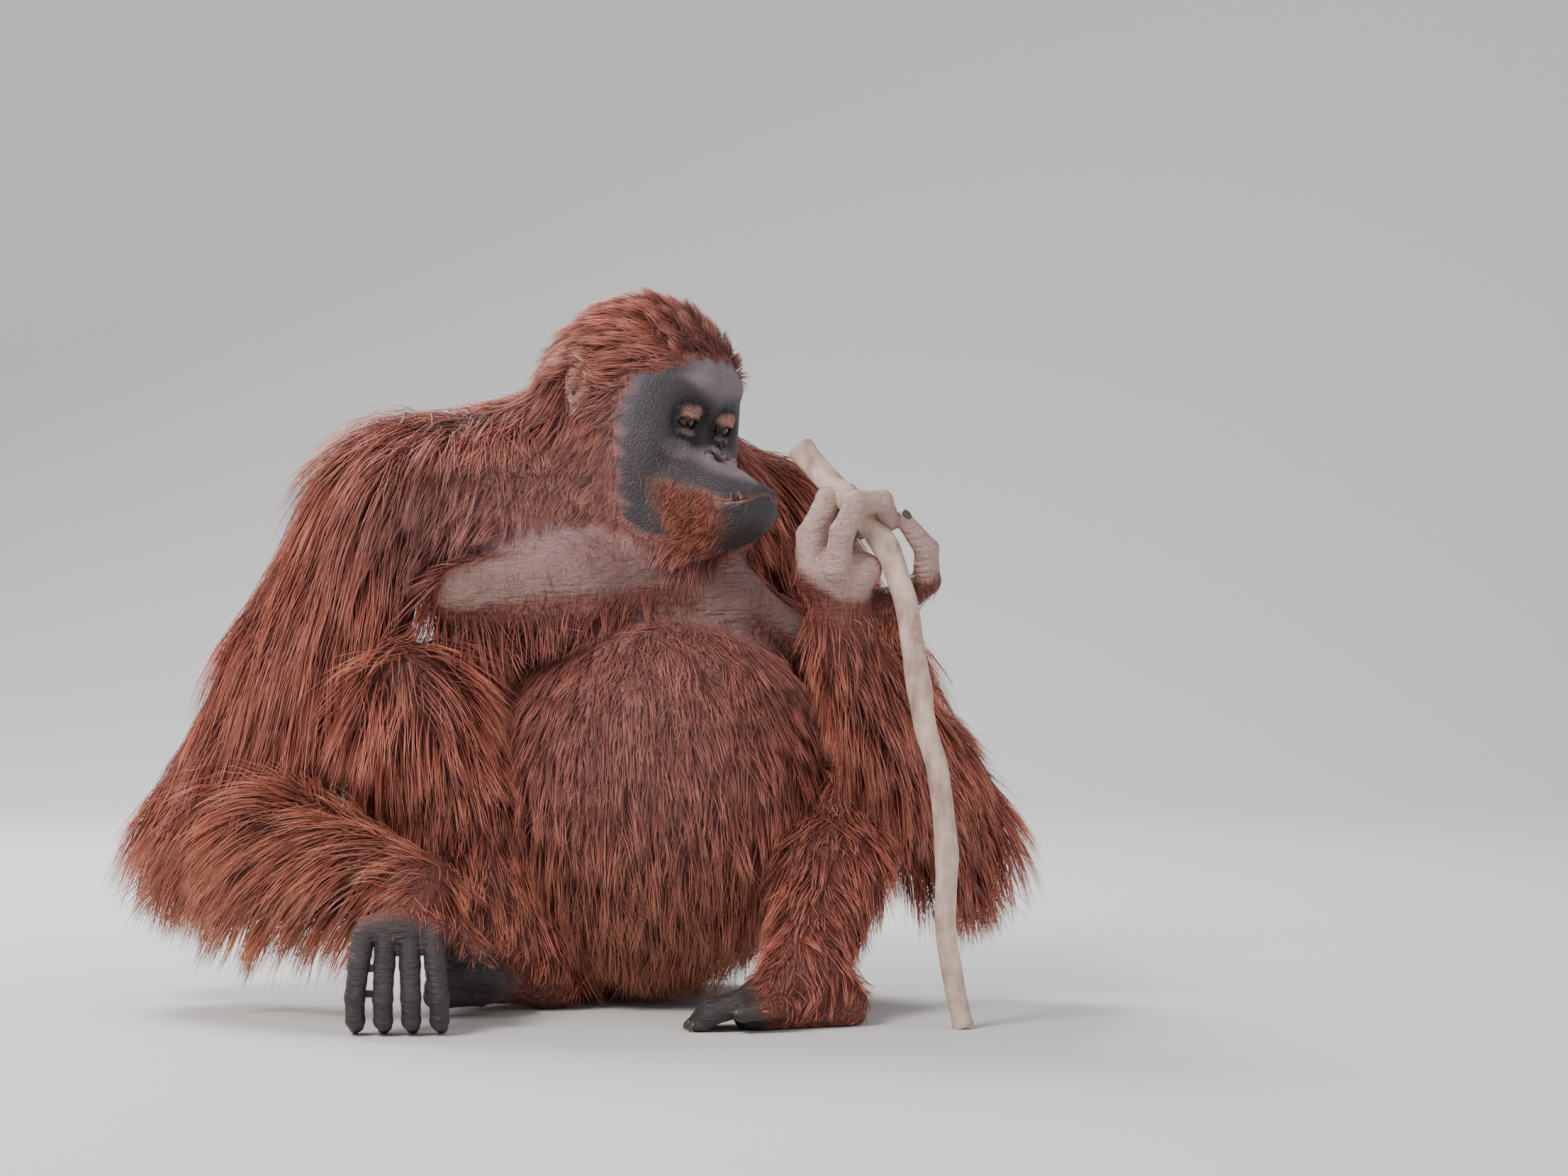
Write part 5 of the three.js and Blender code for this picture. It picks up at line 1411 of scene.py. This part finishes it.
def make_piece(name, index):
    """One mesh of some of the strands, with its colours and its OFBake map."""
    width = style["width"][index] * rng.uniform(0.75, 1.25, len(index))
    points, faces, ring = spikes(line[index], width, normals[index])
    n, per = points.shape[:2]
    all_faces = (faces[None] + (np.arange(n) * per)[:, None, None]).reshape(-1, 3)
    mesh = bpy.data.meshes.new(name)
    mesh.vertices.add(n * per)
    mesh.vertices.foreach_set("co", points.reshape(-1))
    mesh.loops.add(all_faces.size)
    mesh.loops.foreach_set("vertex_index", all_faces.ravel().astype(np.int32))
    mesh.polygons.add(len(all_faces))
    mesh.polygons.foreach_set("loop_start", np.arange(0, all_faces.size, 3, dtype=np.int32))
    mesh.polygons.foreach_set("loop_total", np.full(len(all_faces), 3, np.int32))
    shade_smooth(mesh)
    mesh.update()
    paint(mesh, strand_colour[index][:, ring].reshape(-1, 3))
    corner_no = np.tile(np.concatenate([np.tile([0, 1, 2], rings_all - 1), [1]]), n)
    ring_no = np.tile(ring, n) / (rings_all - 1)
    uv = np.repeat(unwrap[index], per, axis=0) + np.stack([corner_no / 2, ring_no], axis=1) * PATCH
    layer = mesh.uv_layers.new(name="OFBake")
    layer.data.foreach_set("uv", uv[all_faces.ravel()].astype(np.float32).ravel())
    mesh.materials.append(HAIR_FINISH)
    piece = add_object(name, mesh)
    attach(piece, "root")
    return len(all_faces)


# %% The coat, piece by piece
nearest = bone_distances(roots).argmin(axis=1)
unwrap = atlas_place(roots, nearest)
MOST_TRIANGLES = 190000
per_strand = 6 * (rings_all - 2) + 4
coat_total = 0
for i, bone in enumerate(BONE_NAMES):
    mine = np.flatnonzero(nearest == i)
    if len(mine) == 0:
        continue
    parts = math.ceil(len(mine) * per_strand / MOST_TRIANGLES)
    mine = mine[np.argsort(roots[mine, 2])]
    for k, some in enumerate(np.array_split(mine, parts)):
        coat_total += make_piece(f"coat_{bone}_part{k}", some)
print("coat:", coat_total, "triangles")

# %% [markdown]
# ## Eyes
#
# The eyes are dark brown all over, with an almost black iris ring and a wet surface. They look down and
# to the animal's right.


# %% Eyeballs
def eye_build(tree, shader):
    tree.links.new(attribute(tree, "tone", "Color"), shader.inputs["Base Color"])
    shader.inputs["Roughness"].default_value = 0.2
    shader.inputs["Specular IOR Level"].default_value = 0.3
    shader.inputs["Coat Weight"].default_value = 0.25
    shader.inputs["Coat Roughness"].default_value = 0.03


EYE_FINISH = finish_with("wet eye", eye_build)
GAZE = head_way(1, -0.22, -0.20)
for side in ("left", "right"):
    centre_of_eye = in_head(*EYE_PLACE[side])
    bpy.ops.mesh.primitive_uv_sphere_add(segments=64, ring_count=32, radius=EYE_RADIUS * MM)
    ball = bpy.context.object
    ball.name = "eye_ball_" + side
    p = points_of(ball.data)
    way = p / np.linalg.norm(p, axis=1, keepdims=True)
    off = np.degrees(np.arccos(np.clip(way @ GAZE, -1, 1)))
    colour = np.tile(np.array([0.055, 0.028, 0.020]), (len(p), 1))
    colour = blend(colour, (0.010, 0.005, 0.004), 1 - ramp(off, 38, 43))
    colour = blend(colour, (0.075, 0.028, 0.010), 1 - ramp(off, 30, 37))
    colour = blend(colour, (0.002, 0.002, 0.002), 1 - ramp(off, 14, 17))
    p = p * (1 + 0.05 * (1 - ramp(off, 8, 34)))[:, None] + centre_of_eye
    set_points(ball.data, p)
    paint(ball.data, colour)
    shade_smooth(ball.data)
    ball.data.materials.append(EYE_FINISH)
    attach(ball, "root")
    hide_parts("eye_" + side)

# %% [markdown]
# ## Nails
#
# Each finger and toe ends in a small curved plate. Geometry Nodes sets one plate on each of the points
# that mark the digit's ends, turned to the digit and sized to it.

# %% Nail places
nail_at, nail_turn, nail_size = [], [], []


def add_nail(points, radii, away_from):
    """A nail on the last joint, on the side that faces away from a point."""
    a, b = pose(*points[-2]), pose(*points[-1])
    way = unit(b - a)
    out = b - pose(*away_from)
    out = unit(out - (out @ way) * way)
    across = np.cross(way, out)
    r = radii[-1]
    nail_at.append(b + (out * r * 0.60 + way * r * 0.28) * MM)
    m = np.stack([across, way, out], axis=1)
    nail_turn.append(mathutils.Matrix(m.tolist()).to_euler()[:])
    nail_size.append((r * 0.62 * MM, r * 0.74 * MM, r * 0.36 * MM))


DIGITS = [(finger, wr + [-16, 30, -70]) for finger in fingers_right[:4]]
DIGITS += [(fingers_right[4], wr + [0, 0, -80])]
DIGITS += [(finger, [284, -226, 440]) for finger in fingers_left[:4]]
DIGITS += [(fingers_left[4], [300, -225, 430])]
DIGITS += [(toe, ball_right + [10, 0, -40]) for toe in toes_right]
DIGITS += [(toe, ball_left + [10, 0, -60]) for toe in toes_left]
for (joints, radii), palm_side in DIGITS:
    add_nail(joints, radii, palm_side)
print("nail places:", len(nail_at))


# %% Helpers for node trees
def new_tree(name, *inputs):
    """An empty tree with geometry in and out, and more named inputs."""
    tree = bpy.data.node_groups.new(name, "GeometryNodeTree")
    for title, kind in (("Geometry", "Geometry"), ("Finish", "Material")) + inputs:
        tree.interface.new_socket(title, in_out="INPUT", socket_type="NodeSocket" + kind)
    tree.interface.new_socket("Geometry", in_out="OUTPUT", socket_type="NodeSocketGeometry")
    return tree, tree.nodes.new("NodeGroupInput"), tree.nodes.new("NodeGroupOutput")


def named(tree, name, kind):
    """A node that reads a named attribute of the points."""
    made = tree.nodes.new("GeometryNodeInputNamedAttribute")
    made.data_type = kind
    made.inputs["Name"].default_value = name
    return made


def wire(tree, *links):
    """Each link: a node and its output, then a node and its input."""
    for start, output, end, entry in links:
        tree.links.new(start.outputs[output], end.inputs[entry])


# %% Nails by Geometry Nodes
def nail_tree():
    tree, start, end = new_tree("nails")
    plate = tree.nodes.new("GeometryNodeMeshUVSphere")
    plate.inputs["Segments"].default_value = 20
    plate.inputs["Rings"].default_value = 12
    plate.inputs["Radius"].default_value = 1.0
    turn_of, size_of = named(tree, "turn", "FLOAT_VECTOR"), named(tree, "size", "FLOAT_VECTOR")
    turned, place, real, finish = [tree.nodes.new(kind) for kind in (
        "FunctionNodeEulerToRotation", "GeometryNodeInstanceOnPoints", "GeometryNodeRealizeInstances",
        "GeometryNodeSetMaterial")]
    wire(tree, (start, "Geometry", place, "Points"), (plate, "Mesh", place, "Instance"),
         (turn_of, "Attribute", turned, 0), (turned, 0, place, "Rotation"),
         (size_of, "Attribute", place, "Scale"), (place, "Instances", real, 0), (real, 0, finish, "Geometry"),
         (start, "Finish", finish, "Material"), (finish, "Geometry", end, "Geometry"))
    return tree


# %% Running a tree
def run_tree(name, mesh, tree, inputs):
    """Evaluates a node tree on a mesh and keeps the result as a plain mesh."""
    thing = add_object(name, mesh)
    modifier = thing.modifiers.new("nodes", "NODES")
    modifier.node_group = tree
    names = {item.name: item.identifier for item in tree.interface.items_tree if item.in_out == "INPUT"}
    for key, value in inputs.items():
        modifier[names[key]] = value
    bpy.context.view_layer.update()
    done = bpy.data.meshes.new_from_object(thing.evaluated_get(bpy.context.evaluated_depsgraph_get()))
    thing.modifiers.clear()
    thing.data = done
    done.name = name
    return thing


# %% The nails
def nail_build(tree, shader):
    shader.inputs["Base Color"].default_value = (0.075, 0.052, 0.045, 1)
    shader.inputs["Roughness"].default_value = 0.32


NAIL_FINISH = finish_with("nail", nail_build)
marks = bpy.data.meshes.new("nail marks")
marks.from_pydata([tuple(p) for p in nail_at], [], [])
for name, values in (("turn", nail_turn), ("size", nail_size)):
    layer = marks.attributes.new(name, "FLOAT_VECTOR", "POINT")
    layer.data.foreach_set("vector", np.array(values, np.float32).ravel())
nails = run_tree("nails", marks, nail_tree(), {"Finish": NAIL_FINISH})
shade_smooth(nails.data)
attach(nails, "root")
print("nails:", len(nail_at), "plates,", len(nails.data.polygons), "faces")

# %% [markdown]
# ## The branch
#
# The branch follows the CAD's path. A node tree turns the path into a tube, thickened at the knots and
# roughened by noise, so its course and its knots can be changed by two lists.

# %% Path of the branch
STICK = [(227, -180, 508), (248, -198, 484), (275, -226, 456), (301, -240, 424), (312, -244, 396),
         (320, -248, 369), (331, -253, 299), (337, -256, 262), (347, -260, 226), (355, -264, 155),
         (354, -268, 90), (363, -272, 32), (370, -274, 1)]
STICK_TOP, STICK_FOOT, KNOT_SWELL, KNOT_EVERY, KNOT_REACH = 11.5, 9.0, 1.3, 3, 0.28
BETWEEN = 8
knot_points = np.array([pose(*p) for p in STICK])
last = len(STICK) - 1
dense, widths = [], []
for i in range(last):
    p0, p1 = knot_points[max(i - 1, 0)], knot_points[i]
    p2, p3 = knot_points[i + 1], knot_points[min(i + 2, last)]
    for t in np.linspace(0, 1, BETWEEN + 1)[:-1]:
        dense.append(0.5 * (2 * p1 + (p2 - p0) * t + (2 * p0 - 5 * p1 + 4 * p2 - p3) * t ** 2
                            + (3 * p1 - p0 - 3 * p2 + p3) * t ** 3))
        u = i + t
        to_knot = (u - KNOT_EVERY * round(u / KNOT_EVERY)) / KNOT_REACH
        swell = KNOT_SWELL * math.exp(-to_knot ** 2)
        widths.append((STICK_TOP + (STICK_FOOT - STICK_TOP) * u / last + swell) * MM)
dense.append(knot_points[-1])
widths.append(STICK_FOOT * MM)
print("branch path:", len(dense), "points")


# %% The branch by Geometry Nodes
def stick_tree():
    tree, start, end = new_tree("branch", ("Roughness", "Float"))
    width = named(tree, "width", "FLOAT")
    curve, radius, ring, tube, noise, where, normal, amount, offset, move, real, finish = [
        tree.nodes.new(kind) for kind in (
            "GeometryNodeMeshToCurve", "GeometryNodeSetCurveRadius", "GeometryNodeCurvePrimitiveCircle",
            "GeometryNodeCurveToMesh", "ShaderNodeTexNoise", "GeometryNodeInputPosition",
            "GeometryNodeInputNormal", "ShaderNodeMath", "ShaderNodeVectorMath", "GeometryNodeSetPosition",
            "GeometryNodeRealizeInstances", "GeometryNodeSetMaterial")]
    ring.inputs["Resolution"].default_value = 22
    ring.inputs["Radius"].default_value = 1.0
    tube.inputs["Fill Caps"].default_value = True
    noise.inputs["Scale"].default_value = 45.0
    amount.operation = "MULTIPLY_ADD"
    amount.inputs[2].default_value = -0.001
    offset.operation = "SCALE"
    wire(tree, (start, "Geometry", curve, "Mesh"), (curve, "Curve", radius, "Curve"),
         (width, "Attribute", radius, "Radius"), (radius, "Curve", tube, "Curve"),
         (ring, "Curve", tube, "Profile Curve"), (where, "Position", noise, "Vector"),
         (noise, 0, amount, 0), (start, "Roughness", amount, 1), (normal, "Normal", offset, 0), (amount, 0, offset, "Scale"),
         (tube, "Mesh", move, "Geometry"), (offset, 0, move, "Offset"), (move, "Geometry", real, 0),
         (real, 0, finish, "Geometry"), (start, "Finish", finish, "Material"),
         (finish, "Geometry", end, "Geometry"))
    if "Scale" in tube.inputs:
        wire(tree, (width, "Attribute", tube, "Scale"))
    return tree


# %% Branch material
def stick_build(tree, shader):
    place = tree.nodes.new("ShaderNodeTexCoord").outputs["Object"]
    streak = noise_of(tree, place, 95.0, 5.0, (1, 1, 0.22))
    spots = noise_of(tree, place, 60.0, 2.0)
    colours = tree.nodes.new("ShaderNodeValToRGB")
    colours.color_ramp.elements[0].position = 0.3
    colours.color_ramp.elements[0].color = (0.30, 0.17, 0.13, 1)
    colours.color_ramp.elements[1].position = 0.62
    colours.color_ramp.elements[1].color = (0.70, 0.52, 0.42, 1)
    tree.links.new(maths(tree, "MULTIPLY", maths(tree, "ADD", streak, spots), 0.5), colours.inputs["Fac"])
    tree.links.new(colours.outputs["Color"], shader.inputs["Base Color"])
    add_bump(tree, shader, streak, 0.5, 0.001)
    shader.inputs["Roughness"].default_value = 0.7


# %% The branch as a mesh
STICK_FINISH = finish_with("peeled branch", stick_build)
path = bpy.data.meshes.new("branch path")
path.from_pydata([tuple(p) for p in dense], [(i, i + 1) for i in range(len(dense) - 1)], [])
layer = path.attributes.new("width", "FLOAT", "POINT")
layer.data.foreach_set("value", np.array(widths, np.float32))
branch = run_tree("branch", path, stick_tree(), {"Finish": STICK_FINISH, "Roughness": 0.002})
p = points_of(branch.data)
print("branch:", len(branch.data.polygons), "faces, top at", round(float(p[:, 2].max()), 3), "m")
p[:, 2] = np.maximum(p[:, 2], 0.0)
set_points(branch.data, p)
shade_smooth(branch.data)
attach(branch, "root")
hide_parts("stick")
